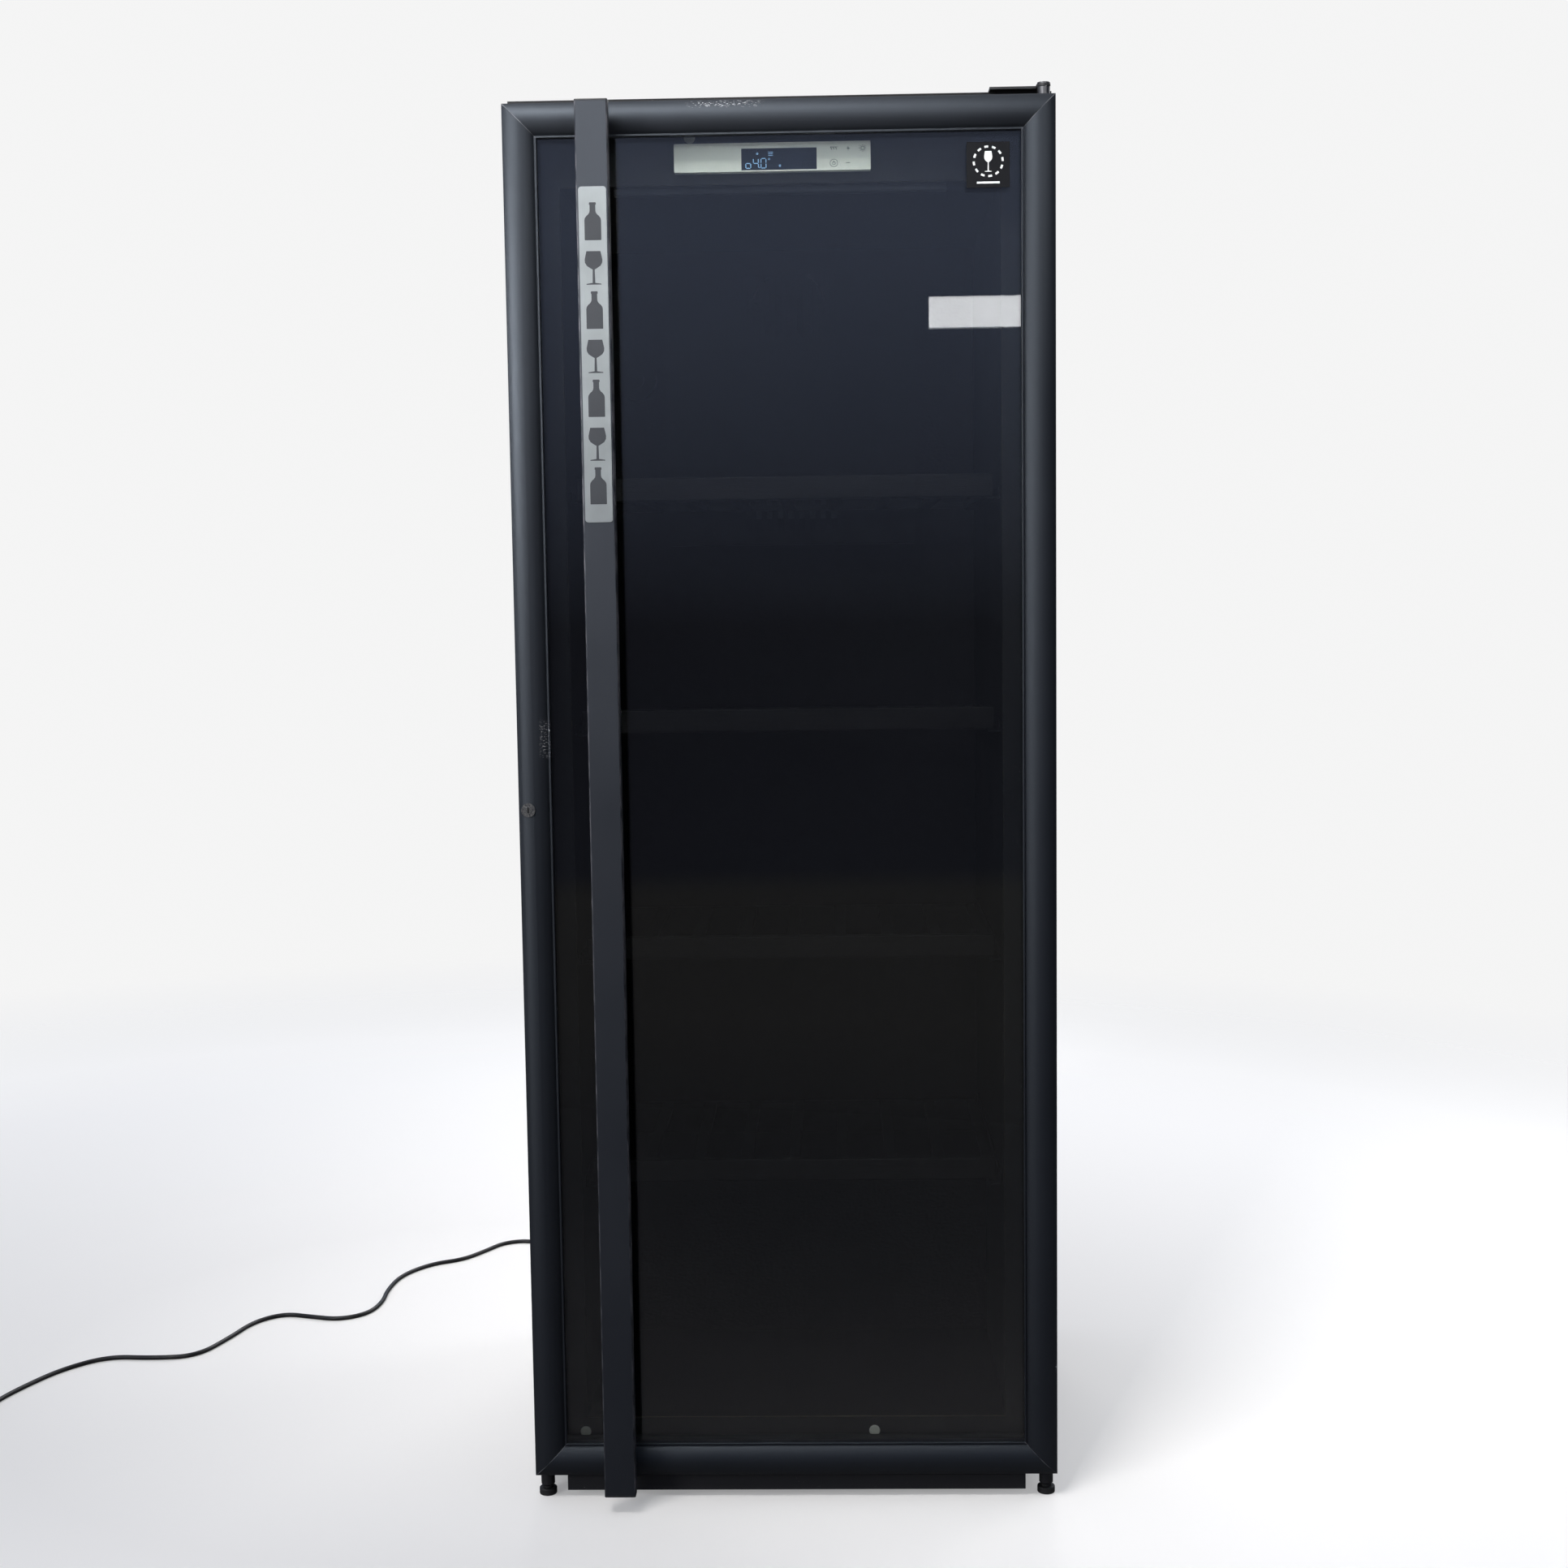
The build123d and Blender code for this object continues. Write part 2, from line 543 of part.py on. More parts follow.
plug_z = 16.2
plug_y = coil_y - coil_mean - cord_radius
plug_start = coil_x - 62
tail_plane = Plane(origin=(coil_x - 16, plug_y, 10.5), x_dir=(0, 1, 0), z_dir=(-1, 0, 0))
body_plane = Plane(origin=(plug_start, plug_y, plug_z), x_dir=(0, 1, 0), z_dir=(-1, 0, 0))
plug_tail = loft([tail_plane * Circle(4.6), body_plane * Circle(8.5)]) - post(
    coil_x, coil_y, (-1, 40), coil_outer)
plug_body = beam((plug_start - 34, plug_start), plug_y, plug_z, 16)
plug_body = fillet(plug_body.edges().filter_by(GeomType.CIRCLE), 4)
plug_body += plug_tail
for pin_offset in (-9.5, 9.5):
    pin = beam((plug_start - 53, plug_start - 33), plug_y + pin_offset, plug_z, 2.4)
    plug_body += fillet(pin.edges().filter_by(GeomType.CIRCLE).group_by(Axis.X)[0], 1.6)
save("power_plug", plug_body)
turns = (2500 - cord_length) / (2 * pi * coil_mean)
print("turns in the coil for 2.5 m of lead", round(turns, 2))
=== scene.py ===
from math import cos, pi, radians, sin, tau

import bmesh
import bpy
from mathutils import Matrix, Vector


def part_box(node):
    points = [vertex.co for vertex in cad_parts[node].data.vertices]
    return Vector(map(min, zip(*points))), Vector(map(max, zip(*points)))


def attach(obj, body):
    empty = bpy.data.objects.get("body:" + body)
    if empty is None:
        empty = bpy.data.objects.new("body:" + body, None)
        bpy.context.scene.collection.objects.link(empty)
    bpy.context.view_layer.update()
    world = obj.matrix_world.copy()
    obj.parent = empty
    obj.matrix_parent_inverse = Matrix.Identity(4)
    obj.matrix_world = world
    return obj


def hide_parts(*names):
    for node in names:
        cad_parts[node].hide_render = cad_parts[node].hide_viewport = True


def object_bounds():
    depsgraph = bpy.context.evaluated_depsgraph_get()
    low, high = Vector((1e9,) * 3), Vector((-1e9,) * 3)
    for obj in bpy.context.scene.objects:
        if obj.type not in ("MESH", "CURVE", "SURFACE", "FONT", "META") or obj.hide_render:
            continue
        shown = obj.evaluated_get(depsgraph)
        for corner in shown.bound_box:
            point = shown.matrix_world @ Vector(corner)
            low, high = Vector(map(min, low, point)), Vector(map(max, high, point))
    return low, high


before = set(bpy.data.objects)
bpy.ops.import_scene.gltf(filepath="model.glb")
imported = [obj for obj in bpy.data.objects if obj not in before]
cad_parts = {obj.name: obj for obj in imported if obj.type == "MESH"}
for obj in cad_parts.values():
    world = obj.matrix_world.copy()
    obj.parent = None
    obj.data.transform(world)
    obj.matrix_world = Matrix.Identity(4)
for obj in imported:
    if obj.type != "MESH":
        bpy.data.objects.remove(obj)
cad_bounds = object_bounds()
scene = bpy.context.scene

# Viewpoint: the eye height of someone standing three metres in front of the cabinet, a little to
# its right and looking slightly down.
eye = bpy.data.cameras.new("eye")
eye.lens = 48.45
viewer = bpy.data.objects.new("viewer", eye)
viewer.location = (0.0619, -2.9707, 1.1917)
viewer.rotation_euler = [radians(angle) for angle in (84.583, 0.769, 1.336)]
scene.collection.objects.link(viewer)
scene.camera = viewer


# Mains lead: 2.5 m of round black PVC lead, 7 mm thick. It leaves the back of the casing low on the
# left, wanders over the floor, and what is left is wound in a neat coil with the plug beside it.
class Value:
    """A number that varies over a surface, so that masks are written as sums and products."""

    def __init__(self, nodes, socket):
        self.nodes = nodes
        self.socket = socket

    def maths(self, operation, first, second=0.0, clamp=False):
        settings = {"operation": operation, "use_clamp": clamp}
        return self.nodes.node("ShaderNodeMath", settings, {0: first, 1: second})

    def __add__(self, other):
        return self.maths("ADD", self, other)

    def __sub__(self, other):
        return self.maths("SUBTRACT", self, other)

    def __rsub__(self, other):
        return self.maths("SUBTRACT", other, self)

    def __mul__(self, other):
        return self.maths("MULTIPLY", self, other)

    def __abs__(self):
        return self.maths("ABSOLUTE", self)

    __radd__ = __add__
    __rmul__ = __mul__

    def least(self, other):
        return self.maths("MINIMUM", self, other)

    def root(self):
        return self.maths("SQRT", self)

    def waves(self):
        return self.maths("SINE", self)

    def rise(self, low, high):
        """0 where the number is low or under, 1 where it is high or over."""
        return self.maths("MULTIPLY", self - low, 1 / (high - low), clamp=True)

    def near(self, middle, reach):
        """1 within a reach of a middle, soft at its ends, 0 outside."""
        return 1 - abs(self - middle).rise(reach * 0.6, reach)


class Nodes:
    """The node tree of a material, or of the room's light."""

    def __init__(self, tree):
        self.tree = tree

    def feed(self, socket, value):
        if isinstance(value, Value):
            self.tree.links.new(value.socket, socket)
        else:
            socket.default_value = value

    def node(self, kind, settings=None, sockets=None, output=0):
        """Any shader node: its settings, then the values or links of its sockets."""
        made = self.tree.nodes.new(kind)
        for word, setting in (settings or {}).items():
            setattr(made, word, setting)
        for key, value in (sockets or {}).items():
            self.feed(made.inputs[key], value)
        return Value(self, made.outputs[output])

    def mix(self, mask, base, over):
        """A colour that goes from base to over where the mask goes from 0 to 1."""
        return self.node("ShaderNodeMix", {"data_type": "RGBA"}, {0: mask, 6: base, 7: over}, 2)


class Finish(Nodes):
    """One material: a Principled shader and the patterns that feed it."""

    def __init__(self, name, **constants):
        self.material = bpy.data.materials.new(name)
        self.material.use_nodes = True
        super().__init__(self.material.node_tree)
        self.shader = self.tree.nodes["Principled BSDF"]
        for word, number in constants.items():
            self.shader.inputs[word.replace("_", " ")].default_value = number

    def surface(self, colour, roughness, relief=None):
        self.feed(self.shader.inputs["Base Color"], colour)
        self.feed(self.shader.inputs["Roughness"], roughness)
        if relief:
            self.feed(self.shader.inputs["Normal"], relief)
        return self

    def place(self, stretch=(1, 1, 1)):
        """Where a point is on the cabinet, in metres, stretched along each axis."""
        spot = self.node("ShaderNodeTexCoord", output="Object")
        return self.node("ShaderNodeVectorMath", {"operation": "MULTIPLY"}, {0: spot, 1: stretch})

    def along(self, axis):
        """How far a point is along X, Y or Z."""
        return self.node("ShaderNodeSeparateXYZ", {}, {0: self.place()}, axis)

    def grain(self, size, stretch=(1, 1, 1), detail=3.0):
        """Cloudy noise whose patches are about as large as the size given in metres."""
        spot = self.place(stretch)
        sockets = {"Vector": spot, "Scale": 1 / size, "Detail": detail, "Roughness": 0.55}
        return self.node("ShaderNodeTexNoise", {}, sockets)

    def bump(self, height, depth, strength=1.0):
        """A surface raised by a height from 0 to 1, times a depth in metres."""
        sockets = {"Height": height, "Distance": depth, "Strength": strength}
        return self.node("ShaderNodeBump", {}, sockets)


def paint(red, green, blue):
    """A colour from the 0 to 255 steps that a paint chart gives."""
    shares = [step / 255 for step in (red, green, blue)]
    linear = [share / 12.92 if share < 0.04 else ((share + 0.055) / 1.055) ** 2.4
              for share in shares]
    return (*linear, 1.0)


def black_sheath(name, tone, gloss):
    """Soft black PVC or rubber with a fine pebble and a little grey dust."""
    finish = Finish(name, Specular_IOR_Level=0.4)
    dust = finish.grain(0.03, detail=5).rise(0.5, 0.8)
    colour = finish.mix(dust * 0.5, paint(tone, tone, tone + 1), paint(70, 68, 64))
    return finish.surface(colour, gloss + dust * 0.15, finish.bump(finish.grain(0.0012), 0.00008))


lead_finish = black_sheath("lead_sheath", 20, 0.42)
lead_radius = 0.0035
gland_low, gland_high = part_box("cord_gland")
lead_exit = ((gland_low.x + gland_high.x) / 2, gland_high.y, (gland_low.z + gland_high.z) / 2)
lead_route = [lead_exit, (-0.310, 0.412, 0.060), (-0.322, 0.468, 0.047), (-0.345, 0.532, 0.027),
              (-0.374, 0.604, 0.009), (-0.412, 0.676, 0.0035), (-0.458, 0.738, 0.0035),
              (-0.503, 0.778, 0.0035), (-0.551, 0.766, 0.0035), (-0.578, 0.718, 0.0035),
              (-0.610, 0.670, 0.0035), (-0.660, 0.648, 0.0035), (-0.702, 0.588, 0.0035),
              (-0.711, 0.510, 0.0035), (-0.706, 0.448, 0.0035), (-0.718, 0.393, 0.0035),
              (-0.760, 0.366, 0.0035), (-0.808, 0.379, 0.0035), (-0.857, 0.394, 0.0035),
              (-0.898, 0.356, 0.0035), (-0.916, 0.286, 0.0035), (-0.946, 0.204, 0.0035),
              (-1.013, 0.196, 0.0035), (-1.084, 0.203, 0.0035), (-1.138, 0.150, 0.0035),
              (-1.170, 0.082, 0.0035), (-1.190, 0.025, 0.0035), (-1.1935, -0.022, 0.0035)]
coil_low, coil_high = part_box("cord_coil")
coil_middle = (coil_low + coil_high) / 2
plug_low, plug_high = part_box("power_plug")
plug_axis_y = (plug_low.y + plug_high.y) / 2
plug_axis_z = 0.0162
tail_z = 0.0115
coil_radius = 0.0385
coil_turns = 3.25
turn_points = 16


def ramp(number, low, high):
    """0 below low, 1 above high."""
    return min(max((number - low) / (high - low), 0), 1)


# The outer turn lies on the floor, the inner one beside it. The lead then climbs on to the inner
# turn, and goes out again over the outer one.
coil_points = []
for step in range(1, int(coil_turns * turn_points) + 1):
    turned_by = step / turn_points
    outward = ramp(turned_by, 0, 0.12) - 2 * ramp(turned_by, 0.7, 1) + 2 * ramp(turned_by, 2.25, 3)
    reach = coil_radius + lead_radius * outward
    height = lead_radius * (1 + 2 * ramp(turned_by, 1.7, 2))
    angle = -tau * turned_by
    coil_points.append((coil_middle.x + reach * cos(angle),
                        coil_middle.y + reach * sin(angle), height))
lead_end = (coil_middle.x - 0.026, plug_axis_y, tail_z)
coil_points += [(coil_middle.x - 0.014, plug_axis_y, 0.0108), lead_end]

lead_curve = bpy.data.curves.new("mains_lead", "CURVE")
lead_curve.dimensions = "3D"
lead_curve.bevel_depth = lead_radius
lead_curve.bevel_resolution = 5
lead_curve.use_fill_caps = True
lead_line = lead_curve.splines.new("NURBS")
lead_line.points.add(len(lead_route) + len(coil_points) - 1)
for knot, spot in zip(lead_line.points, lead_route + coil_points):
    knot.co = (*spot, 1)
lead_line.order_u = 3
lead_line.use_endpoint_u = True
lead_line.resolution_u = 10
mains_lead = bpy.data.objects.new("mains_lead", lead_curve)
scene.collection.objects.link(mains_lead)
lead_curve.materials.append(lead_finish.material)
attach(mains_lead, "cabinet")
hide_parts("power_cord", "cord_coil")


# Strain relief: a soft tapered sleeve, moulded with ribs so that it bends evenly, behind a round
# collar that snaps into the casing.
def turned(shape, outline, foot, towards, sides=40):
    """Sweep an outline of (distance along, radius) pairs round an axis."""
    towards = Vector(towards).normalized()
    across = towards.orthogonal().normalized()
    upward = towards.cross(across)
    rings = []
    for distance, radius in outline:
        centre = Vector(foot) + towards * distance
        angles = [tau * side / sides for side in range(sides if radius else 1)]
        rings.append([shape.verts.new(centre + (across * cos(a) + upward * sin(a)) * radius)
                      for a in angles])
    for near, far in zip(rings, rings[1:]):
        for side in range(sides):
            after = side + 1
            corners = [near[side % len(near)], near[after % len(near)],
                       far[after % len(far)], far[side % len(far)]]
            corners = list(dict.fromkeys(corners))
            if len(corners) > 2:
                shape.faces.new(corners)


def piece(name, shape, finish, body, edge=0.0):
    """A finished piece from its mesh, riding on a body, with its edges broken."""
    bmesh.ops.recalc_face_normals(shape, faces=shape.faces)
    mesh = bpy.data.meshes.new(name)
    shape.to_mesh(mesh)
    shape.free()
    mesh.materials.append(finish.material)
    mesh.shade_smooth()
    made = bpy.data.objects.new(name, mesh)
    scene.collection.objects.link(made)
    smoothed(made, edge)
    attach(made, body)
    return made


def smoothed(part, edge):
    """Break sharp edges by a small width, and keep broad faces flat in the light."""
    if edge:
        bevel = part.modifiers.new("broken_edges", "BEVEL")
        bevel.width = edge
        bevel.segments = 2
        bevel.limit_method = "ANGLE"
        bevel.angle_limit = radians(35)
    shading = part.modifiers.new("shading", "WEIGHTED_NORMAL")
    shading.keep_sharp = False


sleeve_ribs = 6
sleeve_start = gland_low.y
relief_length = gland_high.y - sleeve_start
casing_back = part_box("back_panel")[1].y
collar = casing_back - sleeve_start
sleeve_outline = [(0, 0), (0, 0.0059), (collar, 0.0059), (collar, 0.0105),
                  (collar + 0.0005, 0.011), (collar + 0.0035, 0.011), (collar + 0.004, 0.0104),
                  (collar + 0.004, 0.008)]
rib_pitch = (gland_high.y - casing_back - 0.006) / sleeve_ribs
for rib in range(sleeve_ribs):
    start = collar + 0.005 + rib * rib_pitch
    stop = start + rib_pitch
    width = 0.0079 - 0.0005 * rib
    sleeve_outline += [(start, width - 0.0011), (start + 0.0008, width),
                       (stop - 0.0012, width - 0.0002), (stop - 0.0006, width - 0.0013)]
sleeve_outline += [(relief_length - 0.0004, 0.0044), (relief_length, 0.0036),
                   (relief_length - 0.002, 0)]
sleeve = bmesh.new()
turned(sleeve, sleeve_outline, (lead_exit[0], sleeve_start, lead_exit[2]), (0, 1, 0))
sleeve_finish = black_sheath("sleeve_rubber", 24, 0.5)
lead_sleeve = piece("lead_sleeve", sleeve, sleeve_finish, "cabinet", 0.0002)
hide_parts("cord_gland")

# Plug: a round moulded mains plug with grip ribs, two solid round pins, an earth strip along each
# side and an earth socket in its face. Its sleeve hugs the lead.
plug_finish = black_sheath("plug_moulding", 22, 0.38)
pin_length = 0.0185
grip_length = 0.0345
plug_face = plug_low.x + pin_length
plug_shoulder = plug_face + grip_length
tail_length = plug_high.x - plug_shoulder
plug_outline = [(0, 0), (0, 0.0135), (0.0008, 0.0152), (0.002, 0.0157), (0.018, 0.0157),
                (0.0185, 0.0160), (0.030, 0.0158), (0.0335, 0.0145), (grip_length, 0.0115),
                (0.0352, 0.0088)]
tail_ribs = 7
tail_pitch = (tail_length - 0.004) / tail_ribs
for rib in range(tail_ribs):
    start = 0.0365 + rib * tail_pitch
    stop = start + tail_pitch
    width = 0.0086 - 0.00052 * rib
    plug_outline += [(start, width - 0.001), (start + 0.0008, width),
                     (stop - 0.0016, width - 0.0003), (stop - 0.001, width - 0.0013)]
plug_length = plug_high.x - plug_face
plug_outline += [(plug_length - 0.001, 0.0044), (plug_length, 0.0036), (plug_length - 0.002, 0)]
plug_mesh = bmesh.new()
turned(plug_mesh, plug_outline, (plug_face, plug_axis_y, plug_axis_z), (1, 0, 0), 64)
tail_drop = plug_axis_z - tail_z
for vertex in plug_mesh.verts:
    reach = ramp(vertex.co.x, plug_shoulder, plug_high.x)
    vertex.co.z -= tail_drop * reach * reach * (3 - 2 * reach)


def block(shape, low, high):
    """A bar between two corners."""
    low = Vector(low)
    high = Vector(high)
    placed = Matrix.Translation((low + high) / 2) @ Matrix.Diagonal((*(high - low), 1))
    bmesh.ops.create_cube(shape, size=1, matrix=placed)


grip_ribs = 10
grip_pitch = 0.0016
for side in (-1, 1):
    for rib in range(grip_ribs):
        rib_y = plug_axis_y + side * 0.0152
        rib_z = plug_axis_z + (rib - (grip_ribs - 1) / 2) * grip_pitch
        block(plug_mesh, (plug_face + 0.0195, rib_y - 0.0007, rib_z - 0.0004),
              (plug_face + 0.0305, rib_y + 0.0007, rib_z + 0.0004))
plug = piece("plug", plug_mesh, plug_finish, "cabinet", 0.0003)
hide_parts("power_plug")

nickel = Finish("nickel_plate", Metallic=1.0)
nickel_wear = nickel.grain(0.004, (1, 3, 3), 5)
nickel.surface(nickel.mix(nickel_wear, paint(196, 192, 184), paint(160, 154, 142)),
               0.2 + nickel_wear * 0.25, nickel.bump(nickel.grain(0.0015, (0.2, 1, 1)), 0.00002))
pins = bmesh.new()
pin_offset = 0.0095
pin_outline = [(0, 0), (0, 0.0024), (0.0165, 0.0024), (0.0178, 0.0020), (0.0184, 0.0012),
               (pin_length, 0)]
for offset in (-pin_offset, pin_offset):
    turned(pins, pin_outline, (plug_face, plug_axis_y + offset, plug_axis_z), (-1, 0, 0), 24)
for side in (-1, 1):
    strip_z = plug_axis_z + side * 0.0154
    block(pins, (plug_face, plug_axis_y - 0.0022, strip_z - 0.0005),
          (plug_face + 0.015, plug_axis_y + 0.0022, strip_z + 0.0005))
turned(pins, [(0, 0), (0, 0.0026), (0.0006, 0.0026), (0.0006, 0.0018), (0.0001, 0)],
       (plug_face, plug_axis_y, plug_axis_z - pin_offset), (-1, 0, 0), 24)
plug_pins = piece("plug_pins", pins, nickel, "cabinet", 0.0002)

# Lead tie: a soft rubber band that is pulled tight round the coil's turns, with its short tail
# sticking up where it was pushed through its own slot.
tie_half = 0.004
tie_angle = -tau * 0.4
tie_near = coil_radius - 2 * lead_radius
tie_far = coil_radius + 2 * lead_radius
coil_top = 4 * lead_radius
tie_top = coil_top + 0.0007
under = (tie_near - 0.0008, tie_far + 0.0008, tie_half, 0, 0.0007)
over = (tie_near - 0.0008, tie_far + 0.0008, tie_half, coil_top - 0.0003, tie_top)
inside = (tie_near - 0.0010, tie_near + 0.0002, tie_half, 0, tie_top)
outside = (tie_far - 0.0002, tie_far + 0.0010, tie_half, 0, tie_top)
slot = (tie_near + 0.0040, tie_near + 0.0080, tie_half + 0.0008, coil_top, coil_top + 0.0020)
tail = (tie_near + 0.0052, tie_near + 0.0062, tie_half * 0.8, coil_top, coil_top + 0.0085)
tie = bmesh.new()
for near, far, half, foot, top in (under, over, inside, outside, slot, tail):
    block(tie, (near, -half, foot), (far, half, top))
bmesh.ops.rotate(tie, verts=tie.verts, cent=(0, 0, 0), matrix=Matrix.Rotation(tie_angle, 3, "Z"))
bmesh.ops.translate(tie, verts=tie.verts, vec=(coil_middle.x, coil_middle.y, 0))
tie_finish = black_sheath("tie_rubber", 30, 0.55)
lead_tie = piece("lead_tie", tie, tie_finish, "cabinet", 0.0003)

# Room: a plain pale floor that melts into a pale background. What the glass and the black metal
# mirror is a dim room instead, darker to the right, with soft lights above the door.
scene.view_settings.view_transform = "Standard"
ground = Finish("pale_floor", Specular_IOR_Level=0.1, Emission_Strength=1.0)
seen = ground.node("ShaderNodeLightPath", output="Is Camera Ray")
room_middle = (cad_bounds[0] + cad_bounds[1]) / 2
sideways = ground.along(0) - room_middle.x
backwards = ground.along(1) - room_middle.y
outward = (sideways * sideways + backwards * backwards).root()
pale = ground.mix(outward.rise(0.7, 2.4), paint(140, 140, 140), paint(202, 202, 202))
ground.surface(ground.mix(seen, paint(132, 128, 126), paint(212, 209, 206)), 0.85)
ground.feed(ground.shader.inputs["Emission Color"], ground.mix(seen, paint(0, 0, 0), pale))
solid = Value(ground, ground.shader.outputs[0])
faded = ground.node("ShaderNodeBsdfTransparent")
melted = ground.node("ShaderNodeMixShader", {}, {0: outward.rise(1.9, 3.6), 1: solid, 2: faded})
ground.feed(ground.tree.nodes["Material Output"].inputs["Surface"], melted)
floor_radius = 4.2
floor_middle = (room_middle.x, room_middle.y, -0.0002)
floor_mesh = bmesh.new()
bmesh.ops.create_circle(floor_mesh, cap_ends=True, segments=96, radius=floor_radius,
                        matrix=Matrix.Translation(floor_middle))
floor_data = bpy.data.meshes.new("floor")
floor_mesh.to_mesh(floor_data)
floor_mesh.free()
floor_data.materials.append(ground.material)
floor = bpy.data.objects.new("floor", floor_data)
scene.collection.objects.link(floor)

room = bpy.data.worlds.new("room")
scene.world = room
room.use_nodes = True
air = Nodes(room.node_tree)
direction = air.node("ShaderNodeTexCoord", output="Generated")
rightward = air.node("ShaderNodeSeparateXYZ", {}, {0: direction}, 0)
upward = air.node("ShaderNodeSeparateXYZ", {}, {0: direction}, 2)
boards = (0.120, 0.117, 0.118, 1)
shaded_wall = (0.070, 0.074, 0.100, 1)
lit_wall = (0.38, 0.45, 0.66, 1)
ceiling = (0.24, 0.27, 0.33, 1)
dark_corner = (0.020, 0.022, 0.028, 1)
dim_room = air.mix(upward.rise(-0.145, -0.135), boards, shaded_wall)
dim_room = air.mix(upward.rise(-0.02, 0.16), dim_room, lit_wall)
dim_room = air.mix(upward.rise(0.25, 0.5), dim_room, ceiling)
unlit = rightward.rise(0.08, 0.45) * (1 - upward.rise(0.15, 0.45)) * 0.9
dim_room = air.mix(unlit, dim_room, dark_corner)
mirrored = air.node("ShaderNodeBackground", {}, {"Color": dim_room})
backdrop = air.node("ShaderNodeBackground", {}, {"Color": (0.91, 0.91, 0.91, 1)})
looked_at = air.node("ShaderNodeLightPath", output="Is Camera Ray")
both = air.node("ShaderNodeMixShader", {}, {0: looked_at, 1: mirrored, 2: backdrop})
air.feed(air.tree.nodes["World Output"].inputs["Surface"], both)


def softbox(name, spot, aim, width, height, watts, spread=180):
    """A rectangular studio light pointed at a spot on the cabinet."""
    lamp = bpy.data.lights.new(name, "AREA")
    lamp.shape = "RECTANGLE"
    lamp.size = width
    lamp.size_y = height
    lamp.energy = watts
    lamp.spread = radians(spread)
    hung = bpy.data.objects.new(name, lamp)
    hung.location = spot
    hung.rotation_euler = (Vector(aim) - Vector(spot)).to_track_quat("-Z", "Y").to_euler()
    hung.visible_camera = False
    scene.collection.objects.link(hung)


softbox("ceiling_light", (-0.9, -1.9, 2.95), (-0.1, -0.3, 1.5), 1.3, 0.6, 16, 56)
softbox("window_light", (-1.00, -1.00, 1.60), (-0.33, -0.32, 1.45), 0.25, 0.35, 2.0, 62)
softbox("low_light", (-1.50, -1.70, 0.90), (-0.33, -0.32, 0.60), 0.5, 0.8, 4, 90)
softbox("floor_light", (-0.6, 0.3, 3.9), (-0.6, 0.1, 0), 3.2, 2.8, 24)
softbox("back_light", (0.2, 3.0, 2.6), (0, 0.3, 0.9), 1.8, 1.2, 20, 110)
softbox("side_light", (2.6, 1.6, 2.0), (0.34, 0.1, 1.0), 1.2, 1.6, 8, 100)
softbox("strip_light", (1.3, -2.6, 2.2), (0.0, -0.28, 1.722), 0.3, 0.3, 0.5, 15)
softbox("room_lamp", (0.44, -3.28, 1.895), (0.44, 0, 1.895), 0.24, 0.08, 0.5)


# Door frame: four hollow aluminium bars, anodised satin black, with a rounded face and a thin
# raised lip beside the glass. They are mitred and joined on hidden zinc corner keys.
def dress(finish, *nodes, edge=0.0004):
    """Put a finish on CAD parts and break their edges."""
    for node in nodes:
        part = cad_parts[node]
        for place in part.material_slots:
            place.material = finish.material
        if edge:
            part.modifiers.new("weld", "WELD").merge_threshold = 0.00001
        smoothed(part, edge)


frame_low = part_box("rail_bottom")[0]
frame_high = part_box("rail_top")[1]
door_half = frame_high.x


def anodised(name, length_axis):
    """Black anodising with extrusion lines along the bar, a painted highlight along the mitres and
    a few scuffs.
    """
    finish = Finish(name, Specular_IOR_Level=0.4, Specular_Tint=(0.78, 0.88, 1.0, 1.0))
    lines = tuple(0.012 if axis == length_axis else 1 for axis in range(3))
    drawn = finish.grain(0.0006, lines, 2)
    cloud = finish.grain(0.09, detail=4)
    across = finish.along(0)
    height = finish.along(2)
    from_side = door_half - abs(across)
    from_end = (height - frame_low.z).least(frame_high.z - height)
    mitre = 1 - abs(from_side - from_end).rise(0.0003, 0.0009)
    # Painted highlight: a patchy light grey line along each mitre stands in for the glint on the
    # mitre edges.
    painted_mitre_highlight = mitre * finish.grain(0.02, detail=4).rise(0.35, 0.6) * 0.35
    scratch = finish.grain(0.0035, (1, 1, 3), 3).rise(0.56, 0.62)
    # Knocks on the left bar at waist height, along the top bar, and low on the hinge side.
    scuffed = height.near(1.0, 0.026) * across.near(-0.300, 0.012) * scratch * 0.7
    topped = across.near(-0.065, 0.05) * height.near(frame_high.z - 0.006, 0.005) * scratch * 0.6
    chipped = across.near(door_half, 0.003) * height.near(0.180, 0.007) * scratch
    colour = finish.mix(cloud, paint(11, 12, 15), paint(17, 18, 22))
    # The light grey is painted highlight along the mitres, and real scuffs and scratches elsewhere.
    colour = finish.mix(painted_mitre_highlight + scuffed + topped + chipped, colour, paint(150, 150, 152))
    rough = 0.46 + cloud * 0.08 + drawn * 0.06
    return finish.surface(colour, rough, finish.bump(drawn, 0.00003))


dress(anodised("anodised_upright", 2), "stile_left", "stile_right", edge=0.0003)
dress(anodised("anodised_level", 0), "rail_top", "rail_bottom", edge=0.0003)
cast_zinc = Finish("cast_zinc", Metallic=1.0)
cast_cloud = cast_zinc.grain(0.01)
cast_zinc.surface(cast_zinc.mix(cast_cloud, paint(120, 122, 124), paint(150, 151, 152)), 0.5,
                  cast_zinc.bump(cast_cloud, 0.0001))
dress(cast_zinc, "corner_keys", "hinge_blocks")


